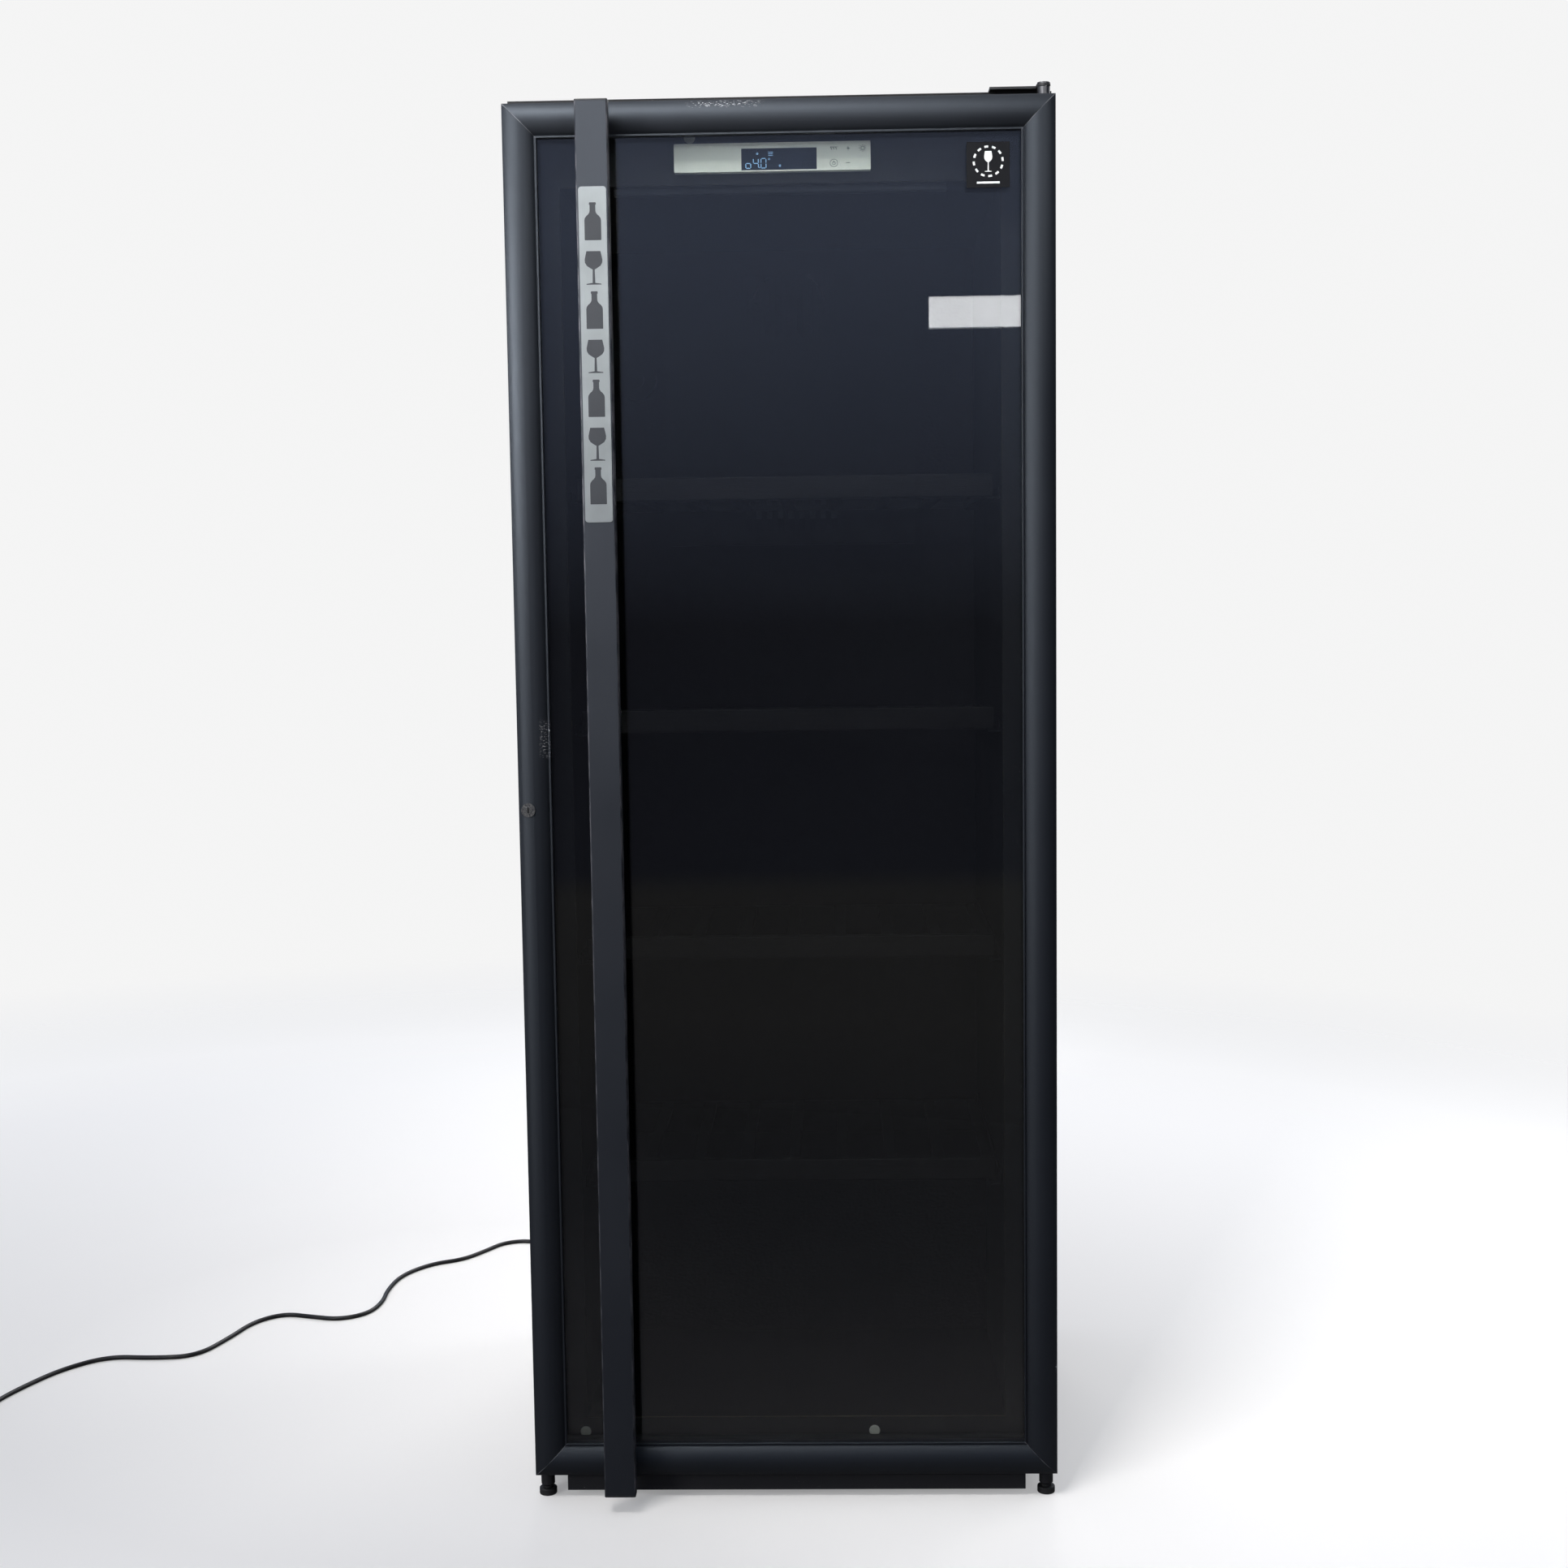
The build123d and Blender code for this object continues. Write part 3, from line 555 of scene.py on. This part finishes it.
# Glazing: two toughened panes, the outer one filmed, on an aluminium spacer. A plastic bead clips
# them into the frame from behind, and a magnetic rubber gasket runs round outside it.
def tinted(name, tint):
    """Glass with a dark film that lets light through to the wine only weakly."""
    finish = Finish(name, Transmission_Weight=1.0, IOR=1.42)
    finish.surface(tint, 0.0)
    clear = finish.node("ShaderNodeBsdfTransparent", {}, {"Color": tint})
    shadow = finish.node("ShaderNodeLightPath", output="Is Shadow Ray")
    glass = Value(finish, finish.shader.outputs[0])
    pane = finish.node("ShaderNodeMixShader", {}, {0: shadow, 1: glass, 2: clear})
    finish.feed(finish.tree.nodes["Material Output"].inputs["Surface"], pane)
    return finish


dress(tinted("filmed_glass", (0.65, 0.66, 0.67, 1)), "glass_outer", edge=0.0)
dress(tinted("clear_glass", (0.86, 0.89, 0.89, 1)), "glass_inner", edge=0.0)
spacer_metal = Finish("spacer_metal", Metallic=1.0)
spacer_cloud = spacer_metal.grain(0.002)
spacer_metal.surface(spacer_metal.mix(spacer_cloud, paint(70, 72, 76), paint(92, 94, 98)), 0.45,
                     spacer_metal.bump(spacer_cloud, 0.00005))
dress(spacer_metal, "glass_spacer", edge=0.0)


def moulded(name, low, high, gloss, pebble=0.0009, depth=0.00005, shine=0.45):
    """Injection-moulded plastic with a fine spark texture and slight unevenness."""
    finish = Finish(name, Specular_IOR_Level=shine)
    cloud = finish.grain(0.05, detail=4)
    texture = finish.grain(pebble, detail=2)
    colour = finish.mix(cloud, low, high)
    return finish.surface(colour, gloss + cloud * 0.12, finish.bump(texture, depth))


black_plastic = moulded("black_moulding", paint(15, 15, 16), paint(24, 24, 25), 0.5)
dress(black_plastic, "glazing_bead", "handle_caps", edge=0.0003)
dress(black_sheath("gasket_rubber", 24, 0.55), "door_gasket", edge=0.0)

# Handle: a flat extruded tube as tall as the door with chamfered front edges and plastic end caps,
# on two stand-offs that are screwed through the rails.
handle_low, handle_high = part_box("handle_bar")
handle_finish = Finish("anodised_handle", Specular_IOR_Level=0.35,
                       Specular_Tint=(0.80, 0.89, 1.0, 1.0))
handle_lines = handle_finish.grain(0.0006, (1, 1, 0.012), 2)
handle_cloud = handle_finish.grain(0.07, (1, 1, 0.5), 4)
chamfer_spot = abs(handle_finish.along(0) - (handle_low.x + handle_high.x) / 2)
chamfer_patches = handle_finish.grain(0.03, detail=4).rise(0.4, 0.65)
chamfer_wear = chamfer_spot.rise(0.0180, 0.0192) * chamfer_patches
handle_colour = handle_finish.mix(handle_cloud, paint(20, 21, 25), paint(28, 29, 33))
handle_colour = handle_finish.mix(chamfer_wear * 0.35, handle_colour, paint(120, 118, 122))
handle_finish.surface(handle_colour, 0.42 + handle_cloud * 0.1 + handle_lines * 0.06,
                      handle_finish.bump(handle_lines, 0.00003))
dress(handle_finish, "handle_bar", "handle_standoffs", edge=0.0003)

# Nameplate: a brushed stainless strip with rounded corners, stuck to the handle. Its printing is
# replaced by plain bottle and glass silhouettes.
plate_low, plate_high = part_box("nameplate")
brushed = Finish("brushed_plate", Metallic=1.0)
brush_lines = brushed.grain(0.0005, (1, 1, 0.02), 2)
brush_cloud = brushed.grain(0.06, detail=3)
brushed.surface(brushed.mix(brush_cloud, paint(98, 101, 102), paint(122, 126, 127)),
                0.46 + brush_lines * 0.15, brushed.bump(brush_lines, 0.00002))
dress(brushed, "nameplate", edge=0.0001)


def plate_print(shape, outline, centre, front, back):
    """A flat mark: an outline of (across, up) points about a centre, between two depths."""
    near = [shape.verts.new((centre[0] + across, front, centre[1] + up)) for across, up in outline]
    far = [shape.verts.new((centre[0] + across, back, centre[1] + up)) for across, up in outline]
    shape.faces.new(near)
    shape.faces.new(far[::-1])
    for index in range(len(outline)):
        after = (index + 1) % len(outline)
        shape.faces.new([near[index], near[after], far[after], far[index]])


def both_sides(half):
    """A closed outline from its right half, listed from the foot up."""
    return half + [(-across, up) for across, up in reversed(half)]


bottle_shape = both_sides([(0.0072, 0), (0.0075, 0.0006), (0.0075, 0.0235), (0.0071, 0.0262),
                           (0.0058, 0.0287), (0.0040, 0.0308), (0.0029, 0.0330), (0.0026, 0.0352),
                           (0.0026, 0.0420), (0.0031, 0.0422), (0.0031, 0.0444), (0.0026, 0.0450)])
glass_shape = both_sides([(0.0068, 0), (0.0066, 0.0010), (0.0012, 0.0021), (0.0009, 0.0180),
                          (0.0030, 0.0196), (0.0062, 0.0225), (0.0078, 0.0262), (0.0080, 0.0298),
                          (0.0072, 0.0350), (0.0063, 0.0400)])
mark_shapes = [bottle_shape, glass_shape]
mark_count = 7
mark_pitch = 0.053
mark_stretch = 1.35
plate_marks = bmesh.new()
plate_middle_x = (plate_low.x + plate_high.x) / 2
first_mark = plate_low.z + 0.022
for mark in range(mark_count):
    outline = [(across * mark_stretch, up) for across, up in mark_shapes[mark % 2]]
    plate_print(plate_marks, outline, (plate_middle_x, first_mark + mark * mark_pitch),
                plate_low.y - 0.00015, plate_low.y + 0.0001)
ink = moulded("printing_ink", paint(26, 28, 32), paint(36, 38, 42), 0.5, 0.0004, 0.00002, 0.25)
piece("plate_marks", plate_marks, ink, "door")



# Window label: a small, nearly square black film stuck on the glass near its top right corner. It
# is printed in white with a broken ring round a wine glass, and a bar below.
def oblong(half_width, half_height):
    """The outline of a rectangle about its middle."""
    return [(-half_width, -half_height), (half_width, -half_height),
            (half_width, half_height), (-half_width, half_height)]


pane_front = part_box("glass_outer")[0].y
label_x = 0.2577
label_z = 1.701
film_faces = (pane_front - 0.00015, pane_front - 0.00002)
print_faces = (pane_front - 0.0003, pane_front - 0.0001)
label_film = bmesh.new()
plate_print(label_film, oblong(0.0265, 0.0275), (label_x, label_z), *film_faces)
label_black = moulded("label_film", paint(9, 10, 13), paint(13, 14, 17), 0.6, shine=0.1)
piece("window_label", label_film, label_black, "door")
label_marks = bmesh.new()
ring_steps = 24
ring_outer = 0.0190
ring_inner = 0.0165
for step in range(0, ring_steps, 2):
    angles = [tau * (step + part / 3) / ring_steps for part in range(4)]
    outer = [(ring_outer * cos(a), ring_outer * sin(a)) for a in angles]
    inner = [(ring_inner * cos(a), ring_inner * sin(a)) for a in reversed(angles)]
    plate_print(label_marks, outer + inner, (label_x, label_z + 0.004), *print_faces)
glass_scale = 0.62
small_glass = [(across * glass_scale, up * glass_scale) for across, up in glass_shape]
plate_print(label_marks, small_glass, (label_x, label_z - 0.0085), *print_faces)
plate_print(label_marks, oblong(0.014, 0.0012), (label_x, label_z - 0.0215), *print_faces)
label_white = moulded("label_print", paint(176, 177, 177), paint(196, 196, 195), 0.5)
piece("label_marks", label_marks, label_white, "door")

# Lock: a dark chromed cylinder through the left stile. The plug turns and swings a steel cam behind
# a keeper on the casing.
lock_metal = Finish("lock_chrome", Metallic=1.0)
lock_scratch = lock_metal.grain(0.0015, detail=5)
lock_wear = lock_scratch.rise(0.4, 0.7)
lock_metal.surface(lock_metal.mix(lock_wear, paint(84, 84, 86), paint(150, 148, 142)),
                   0.24 + lock_scratch * 0.2, lock_metal.bump(lock_scratch, 0.00004))
dress(lock_metal, "lock_housing", "lock_barrel", edge=0.0004)


def steel(name, low, high, gloss, metallic=1.0):
    """Plated sheet steel with faint mottling and fine handling scratches."""
    finish = Finish(name, Metallic=metallic)
    mottle = finish.grain(0.02, detail=5)
    scratch = finish.grain(0.0008, (1, 1, 0.05), 2)
    colour = finish.mix(mottle, low, high)
    return finish.surface(colour, gloss + mottle * 0.15, finish.bump(scratch, 0.00003))


zinc = steel("zinc_plate", paint(160, 162, 165), paint(192, 193, 194), 0.3)
dress(zinc, "lock_keeper", edge=0.0003)
dark_zinc = steel("blackened_zinc", paint(58, 58, 60), paint(96, 96, 97), 0.35)
dress(dark_zinc, "hinge_screws", "hinge_pins", edge=0.0003)


# Casing: folded steel sheets with a fine black powder coat, over a base pan of the same sheet. The
# front frame is the face that the gasket meets. The back is bare galvanised sheet over foam.
def powder_coat(name, low, high, gloss, shine=0.45):
    """Baked powder coat: orange peel with the odd pale speck of dust."""
    finish = Finish(name, Specular_IOR_Level=shine)
    peel = finish.grain(0.0022, detail=2)
    cloud = finish.grain(0.25, detail=4)
    dust = finish.grain(0.004, detail=2).rise(0.70, 0.78)
    colour = finish.mix(cloud, low, high)
    colour = finish.mix(dust * 0.3, colour, paint(110, 108, 104))
    return finish.surface(colour, gloss + cloud * 0.12, finish.bump(peel, 0.00012))


casing = powder_coat("black_powder_coat", paint(24, 24, 26), paint(31, 31, 33), 0.55, 0.32)
dress(casing, "side_panel_left", "side_panel_right", "top_panel", "base_pan", edge=0.0003)
header_coat = powder_coat("header_coat", paint(10, 10, 11), paint(15, 15, 16), 0.6, 0.2)
dress(header_coat, "front_frame", edge=0.0003)
dress(casing, "plinth", "hinge_plate", "foot_brackets", edge=0.0003)

back_metal = Finish("galvanised_sheet", Metallic=1.0)
spangle = back_metal.node("ShaderNodeTexVoronoi", {"feature": "F1"},
                          {"Vector": back_metal.place(), "Scale": 70.0})
spangle_tone = spangle.rise(0.0, 0.9) * 0.6 + back_metal.grain(0.2, detail=4) * 0.4
back_metal.surface(back_metal.mix(spangle_tone, paint(132, 136, 140), paint(176, 179, 181)),
                   0.36 + spangle_tone * 0.2, back_metal.bump(spangle, 0.00003))
dress(back_metal, "back_panel", edge=0.0003)
foam = Finish("poured_foam")
foam_cells = foam.grain(0.002, detail=4)
foam.surface(foam.mix(foam_cells, paint(196, 176, 128), paint(222, 204, 158)), 0.9,
             foam.bump(foam_cells, 0.0006))
dress(foam, "foam_panels", edge=0.0)

# Screw covers: pale moulded caps with a dished top, pressed over the heads of the screws that hold
# the front frame to the casing. They show faintly through the dark glass.
cap_plastic = moulded("pale_cap", paint(176, 172, 158), paint(200, 197, 184), 0.42)
face_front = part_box("front_frame")[0].y
screw_covers = bmesh.new()
cap_outline = [(0, 0), (0, 0.007), (0.0008, 0.0072), (0.0016, 0.0066), (0.0020, 0.005),
               (0.0014, 0.0032), (0.0012, 0)]
for cap_x, cap_z in ((-0.112, 1.7485), (0.104, 0.0755), (-0.279, 0.0755)):
    turned(screw_covers, cap_outline, (cap_x, face_front, cap_z), (0, -1, 0), 32)
piece("screw_covers", screw_covers, cap_plastic, "cabinet")

# Storage space: an embossed aluminium liner with a dark coating, steel shelf rails, and shelves of
# black steel bars behind black-stained beech fronts.
liner = Finish("embossed_liner", Specular_IOR_Level=0.1)
liner_cells = liner.node("ShaderNodeTexVoronoi", {"feature": "SMOOTH_F1"},
                         {"Vector": liner.place((1, 1, 1.3)), "Scale": 210.0})
liner_cloud = liner.grain(0.15, detail=3)
liner.surface(liner.mix(liner_cloud, paint(8, 8, 9), paint(13, 13, 14)), 0.5 + liner_cloud * 0.1,
              liner.bump(liner_cells, 0.0005, 0.8))
dress(liner, "inner_liner", edge=0.0)
shelf_steel = powder_coat("shelf_coat", paint(8, 8, 9), paint(12, 12, 13), 0.6, 0.12)
dress(shelf_steel, "shelf_rails", edge=0.0003)
beech = Finish("stained_beech", Specular_IOR_Level=0.12)
beech_warp = beech.grain(0.05, (0.4, 1, 1), 3)
beech_rings = (beech.along(2) * 900 + beech_warp * 14 + beech.along(1) * 400).waves() * 0.5 + 0.5
beech_pores = beech.grain(0.0009, (0.06, 1, 1), 2).rise(0.52, 0.7)
beech_tone = beech_rings * 0.6 + beech_pores * 0.4
beech.surface(beech.mix(beech_tone, paint(8, 7, 7), paint(17, 15, 13)), 0.6 + beech_pores * 0.2,
              beech.bump(beech_pores * -1 + beech_rings * 0.3, 0.00012))
for shelf in range(1, 5):
    dress(shelf_steel, f"shelf_{shelf}_frame", edge=0.0006)
    dress(beech, f"shelf_{shelf}_front", edge=0.0)

# Cooling inside: a slotted black duct cover with its fan, the coated evaporator behind it, a round
# charcoal filter, and a light strip under the ceiling.
inner_plastic = moulded("duct_moulding", paint(6, 6, 7), paint(10, 10, 11), 0.7, shine=0.15)
dress(inner_plastic, "duct_cover", "fan_housing", "fan_rotor", "charcoal_filter", edge=0.0003)
fin_metal = steel("coated_fins", paint(22, 22, 23), paint(34, 34, 35), 0.5, 0.3)
dress(fin_metal, "evaporator", edge=0.0)
lens = moulded("light_lens", paint(26, 27, 30), paint(36, 37, 40), 0.25)
dress(lens, "light_strip", edge=0.0)

# Control strip: a pale moulded fascia on the header, seen through the glass, with a dark display
# window, printed key marks and pale blue digits.
strip_low, strip_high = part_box("control_panel")
strip_finish = Finish("pale_fascia", Specular_IOR_Level=0.4)
strip_cloud = strip_finish.grain(0.03, detail=4)
strip_rise = strip_finish.along(2)
strip_side = strip_finish.along(0)
# Upper part of the fascia: a shallow recess in the bump, and a flat, slightly darker tone that is
# painted shade from the top rail above it.
recess_and_painted_shade = (strip_rise.rise(strip_low.z + 0.0135, strip_low.z + 0.0141)
         * (1 - strip_rise.rise(strip_high.z - 0.0045, strip_high.z - 0.0040))
         * strip_side.rise(strip_low.x + 0.0060, strip_low.x + 0.0065))
strip_colour = strip_finish.mix(strip_cloud, paint(214, 210, 196), paint(224, 221, 208))
# Painted shade: the upper part of the fascia goes a little darker.
strip_colour = strip_finish.mix(recess_and_painted_shade, strip_colour, paint(212, 209, 198))
strip_relief = strip_finish.grain(0.0008, detail=2) - recess_and_painted_shade * 2
strip_finish.surface(strip_colour, 0.4, strip_finish.bump(strip_relief, 0.00004))
dress(strip_finish, "control_panel", edge=0.0003)
window = moulded("display_window", paint(20, 24, 33), paint(26, 31, 42), 0.12, 0.004, 0.00001)
dress(window, "control_display", edge=0.0)

# Display and key marks: pale blue seven-segment figures behind the window, and plain signs printed
# over the touch keys. Each is a flat shape a hair in front of the fascia.
window_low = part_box("control_display")[0]
digit_faces = (window_low.y - 0.00012, window_low.y + 0.0001)


def stroke(shape, start, end, width, faces):
    """A straight flat stroke between two (x, z) points, with its front and back faces."""
    start = Vector(start)
    end = Vector(end)
    side = (end - start).normalized().orthogonal() * width / 2
    outline = [start + side, end + side, end - side, start - side]
    plate_print(shape, [tuple(corner) for corner in outline], (0, 0), *faces)


def hoop(shape, centre, radius, width, faces, steps=20):
    """A flat ring of strokes about a centre."""
    for step in range(steps):
        ends = [tau * step / steps, tau * (step + 1) / steps]
        points = [(centre[0] + radius * cos(a), centre[1] + radius * sin(a)) for a in ends]
        stroke(shape, points[0], points[1], width, faces)


segments = {"a": ((0, 2), (1, 2)), "b": ((1, 2), (1, 1)), "c": ((1, 1), (1, 0)),
            "d": ((0, 0), (1, 0)), "e": ((0, 1), (0, 0)), "f": ((0, 2), (0, 1)),
            "g": ((0, 1), (1, 1))}
figures = (("cdeg", -0.0415), ("bcfg", -0.0320), ("abcdef", -0.0225))
figure_width = 0.0062
figure_step = 0.0058
figure_foot = window_low.z + 0.0025
stars = (Vector((0.0010, figure_foot + 0.0025)), Vector((-0.0270, figure_foot + 0.0175)))
point_x = -0.0242
thin = 0.0006
thick = 0.0008
digits = bmesh.new()
for glowing, left in figures:
    for name in glowing:
        start, end = [Vector((left + across * figure_width, figure_foot + up * figure_step))
                      for across, up in segments[name]]
        gap = (end - start) * 0.1
        stroke(digits, start + gap, end - gap, 0.0011, digit_faces)
hoop(digits, (-0.0125, figure_foot + 0.0108), 0.0010, thin, digit_faces, 10)
stroke(digits, (point_x, figure_foot), (point_x, figure_foot + 0.0012), 0.0012, digit_faces)
for bar in range(3):
    height = figure_foot + 0.0152 + bar * 0.0020
    stroke(digits, (-0.0135, height), (-0.0075, height), thick, digit_faces)
for arm in range(3):
    reach = Vector((cos(pi * arm / 3), sin(pi * arm / 3))) * 0.0017
    for star in stars:
        stroke(digits, star - reach, star + reach, thin, digit_faces)
glow = Finish("lit_digits", Emission_Strength=0.42)
glow_cloud = glow.grain(0.004)
glow.surface(glow.mix(glow_cloud, paint(120, 164, 205), paint(150, 188, 222)), 0.5)
glow_light = glow.mix(glow_cloud, paint(126, 172, 214), paint(160, 200, 232))
glow.feed(glow.shader.inputs["Emission Color"], glow_light)
piece("display_digits", digits, glow, "cabinet")

key_faces = (strip_low.y - 0.0001, strip_low.y + 0.0001)
upper = strip_low.z + 0.0262
lower = strip_low.z + 0.0085
power_x = 0.0683
plus_x = 0.0862
lamp_x = 0.1044
lamp_rays = 8
key_marks = bmesh.new()
for bar in range(3):
    shift = bar * 0.0030
    stroke(key_marks, (0.0645 + shift, upper + 0.0014), (0.0660 + shift, upper - 0.0014), thick,
           key_faces)
stroke(key_marks, (0.0638, upper + 0.0018), (0.0732, upper + 0.0018), 0.0007, key_faces)
stroke(key_marks, (0.0840, upper), (0.0884, upper), thick, key_faces)
stroke(key_marks, (plus_x, upper - 0.0022), (plus_x, upper + 0.0022), thick, key_faces)
stroke(key_marks, (0.0838, lower), (0.0886, lower), thick, key_faces)
hoop(key_marks, (lamp_x, upper), 0.0022, thick, key_faces)
for ray in range(lamp_rays):
    beam = Vector((cos(tau * ray / lamp_rays), sin(tau * ray / lamp_rays)))
    lamp_middle = Vector((lamp_x, upper))
    stroke(key_marks, lamp_middle + beam * 0.0032, lamp_middle + beam * 0.0044, thick, key_faces)
hoop(key_marks, (power_x, lower), 0.0047, thin, key_faces, 28)
hoop(key_marks, (power_x, lower - 0.0003), 0.0019, thin, key_faces, 16)
stroke(key_marks, (power_x, lower + 0.0004), (power_x, lower + 0.0028), thin, key_faces)
key_ink = moulded("key_ink", paint(70, 70, 68), paint(88, 88, 84), 0.5)
piece("key_marks", key_marks, key_ink, "cabinet")

# Feet: round moulded plastic feet, pebbled to hide scuffs. The front pair screws up and down on
# threaded stems under the hinge brackets, and the rear pair is plain.
foot_plastic = moulded("foot_moulding", paint(22, 22, 22), paint(34, 33, 32), 0.5, 0.0015, 0.0001)
dress(foot_plastic, "front_foot_left", "front_foot_right", "rear_feet", edge=0.0003)

# Condenser: one long steel tube bent to and fro, with upright wires welded to both faces, on four
# brackets with plastic wall spacers. All of it is dipped in black paint.
cond_low, cond_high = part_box("condenser")
run_count = 13
run_first = cond_low.z + 0.036
run_pitch = 0.090
bend_x = 0.213
bend_radius = 0.022
tube_exit_x = 0.225
tube_y = 0.3528
tube_radius = 0.0025
black_dip = powder_coat("dipped_black", paint(19, 19, 20), paint(30, 30, 30), 0.34)


def bent_tube(name, points, radius, finish, body, corner, bend_steps=8):
    """A pipe on straight runs whose corners are bent to a radius."""
    curve = bpy.data.curves.new(name, "CURVE")
    curve.dimensions = "3D"
    curve.bevel_depth = radius
    curve.bevel_resolution = 4
    curve.use_fill_caps = True
    path = [Vector(points[0])]
    for before, here, after in zip(points, points[1:], points[2:]):
        before, here, after = Vector(before), Vector(here), Vector(after)
        inward = (before - here).normalized()
        onward = (after - here).normalized()
        for step in range(bend_steps + 1):
            share = step / bend_steps
            start = here + inward * corner * (1 - share)
            end = here + onward * corner * share
            path.append(start.lerp(end, share))
    path.append(Vector(points[-1]))
    line = curve.splines.new("POLY")
    line.points.add(len(path) - 1)
    for knot, spot in zip(line.points, path):
        knot.co = (*spot, 1)
    pipe = bpy.data.objects.new(name, curve)
    scene.collection.objects.link(pipe)
    curve.materials.append(finish.material)
    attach(pipe, body)
    return pipe


serpentine = [(-bend_x, tube_y, cond_low.z)]
for run in range(run_count):
    side = -1 if run % 2 == 0 else 1
    height = run_first + run * run_pitch
    serpentine.append((side * bend_x, tube_y, height))
    far_side = tube_exit_x if run == run_count - 1 else -side * bend_x
    serpentine.append((far_side, tube_y, height))
condenser_tube = bent_tube("condenser_tube", serpentine, tube_radius, black_dip, "cabinet",
                           bend_radius)
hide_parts("condenser")
wires = bmesh.new()
wire_radius = 0.0008
wire_count = 34
wire_pitch = 0.0125
wire_length = cond_high.z - cond_low.z - 0.012
for wire in range(wire_count):
    wire_x = (wire - (wire_count - 1) / 2) * wire_pitch
    for side in (-1, 1):
        wire_y = tube_y + side * (tube_radius + wire_radius * 0.8)
        turned(wires, [(0, 0), (0, wire_radius), (wire_length, wire_radius), (wire_length, 0)],
               (wire_x, wire_y, cond_low.z + 0.008), (0, 0, 1), 6)
piece("condenser_wires", wires, black_dip, "cabinet")
bracket_spots = [(x, z) for z in (0.480, 1.470) for x in (-0.180, 0.180)]
bracket_half = 0.012
bracket_sheet = 0.0012
saddle_back = tube_y - 0.0038
flange_plate = ((-bracket_half, casing_back, -0.010),
                (bracket_half, casing_back + bracket_sheet, 0.026))
arm_plate = ((-bracket_half, casing_back, -0.010),
             (bracket_half, saddle_back, -0.010 + bracket_sheet))
saddle_plate = ((-bracket_half, saddle_back - bracket_sheet, -0.022),
                (bracket_half, saddle_back, 0.010))
spacer_outline = [(0, 0), (0, 0.010), (0.0016, 0.0104), (0.0030, 0.0070), (0.0072, 0.0062),
                  (0.0080, 0.0052), (0.0080, 0)]
brackets = bmesh.new()
spacers = bmesh.new()
for bracket_x, bracket_z in bracket_spots:
    shift = Vector((bracket_x, 0, bracket_z))
    for low, high in (flange_plate, arm_plate, saddle_plate):
        block(brackets, Vector(low) + shift, Vector(high) + shift)
    turned(spacers, spacer_outline, (bracket_x, tube_y + 0.0042, bracket_z), (0, 1, 0), 28)
piece("condenser_brackets", brackets, black_dip, "cabinet", 0.0003)
piece("wall_spacers", spacers, black_plastic, "cabinet")

# Back screws: zinc-plated pan-head screws, seven down each side flange to hold the back sheet, and
# one through each bracket of the condenser.
back_screws = bmesh.new()
screw_outline = [(0, 0), (0, 0.0042), (0.0012, 0.0041), (0.0021, 0.0032), (0.0025, 0.0018),
                 (0.0026, 0.0009), (0.0014, 0.0006), (0.0013, 0)]
screw_rows = 7
lowest_screw = 0.32
highest_screw = 1.76
flange_x = 0.270
for row in range(screw_rows):
    screw_z = lowest_screw + row * (highest_screw - lowest_screw) / (screw_rows - 1)
    for screw_x in (-flange_x, flange_x):
        turned(back_screws, screw_outline, (screw_x, casing_back, screw_z), (0, 1, 0), 20)
for bracket_x, bracket_z in bracket_spots:
    turned(back_screws, screw_outline,
           (bracket_x, casing_back + bracket_sheet, bracket_z + 0.018), (0, 1, 0), 20)
piece("back_screws", back_screws, zinc, "cabinet")

# Bay lining: thin galvanised sheets folded over the foam round the compressor, with a short lip
# behind the back sheet's lower edge and along the base pan.
bay = bmesh.new()
bay_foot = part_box("base_pan")[1].z
bay_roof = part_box("back_panel")[0].z
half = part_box("back_panel")[1].x
bay_front = 0.111
sides_back = casing_back - 0.001
lining = 0.0006
fold = 0.012
for low, high in (((-half, bay_front, bay_foot), (half, bay_front + lining, bay_roof)),
                  ((-half, bay_front, bay_foot), (-half + lining, sides_back, bay_roof)),
                  ((half - lining, bay_front, bay_foot), (half, sides_back, bay_roof)),
                  ((-half, bay_front, bay_roof - lining), (half, casing_back, bay_roof)),
                  ((-half, casing_back - lining, bay_roof - fold), (half, casing_back, bay_roof)),
                  ((-half, bay_front, bay_foot), (half, bay_front + fold, bay_foot + lining))):
    block(bay, low, high)
piece("bay_lining", bay, back_metal, "cabinet")

# Compressor: a black painted steel can welded round its middle, on rubber mounts, with its copper
# lines and the filter drier beside it.
can_paint = powder_coat("compressor_paint", paint(18, 18, 19), paint(28, 28, 29), 0.28)
dress(can_paint, "compressor", edge=0.0004)
dress(black_sheath("mount_rubber", 26, 0.6), "compressor_mounts", edge=0.0005)
copper = Finish("copper_line", Metallic=1.0)
tarnish = copper.grain(0.02, detail=5)
copper.surface(copper.mix(tarnish.rise(0.35, 0.7), paint(196, 118, 82), paint(126, 80, 60)),
               0.25 + tarnish * 0.3, copper.bump(copper.grain(0.003, detail=4), 0.00005))
dress(copper, "refrigerant_line", "filter_drier", edge=0.0)
mounts_low, mounts_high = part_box("compressor_mounts")
can_x = (mounts_low.x + mounts_high.x) / 2
can_y = (mounts_low.y + mounts_high.y) / 2
seam_z = 0.142
can_radius = 0.0835
seam_outline = [(0, can_radius), (0.0004, 0.0858), (0.0022, 0.0866), (0.0040, 0.0858),
                (0.0044, can_radius), (0, can_radius)]
seam = bmesh.new()
turned(seam, seam_outline, (can_x, can_y, seam_z), (0, 0, 1), 72)
piece("compressor_seam", seam, can_paint, "cabinet")
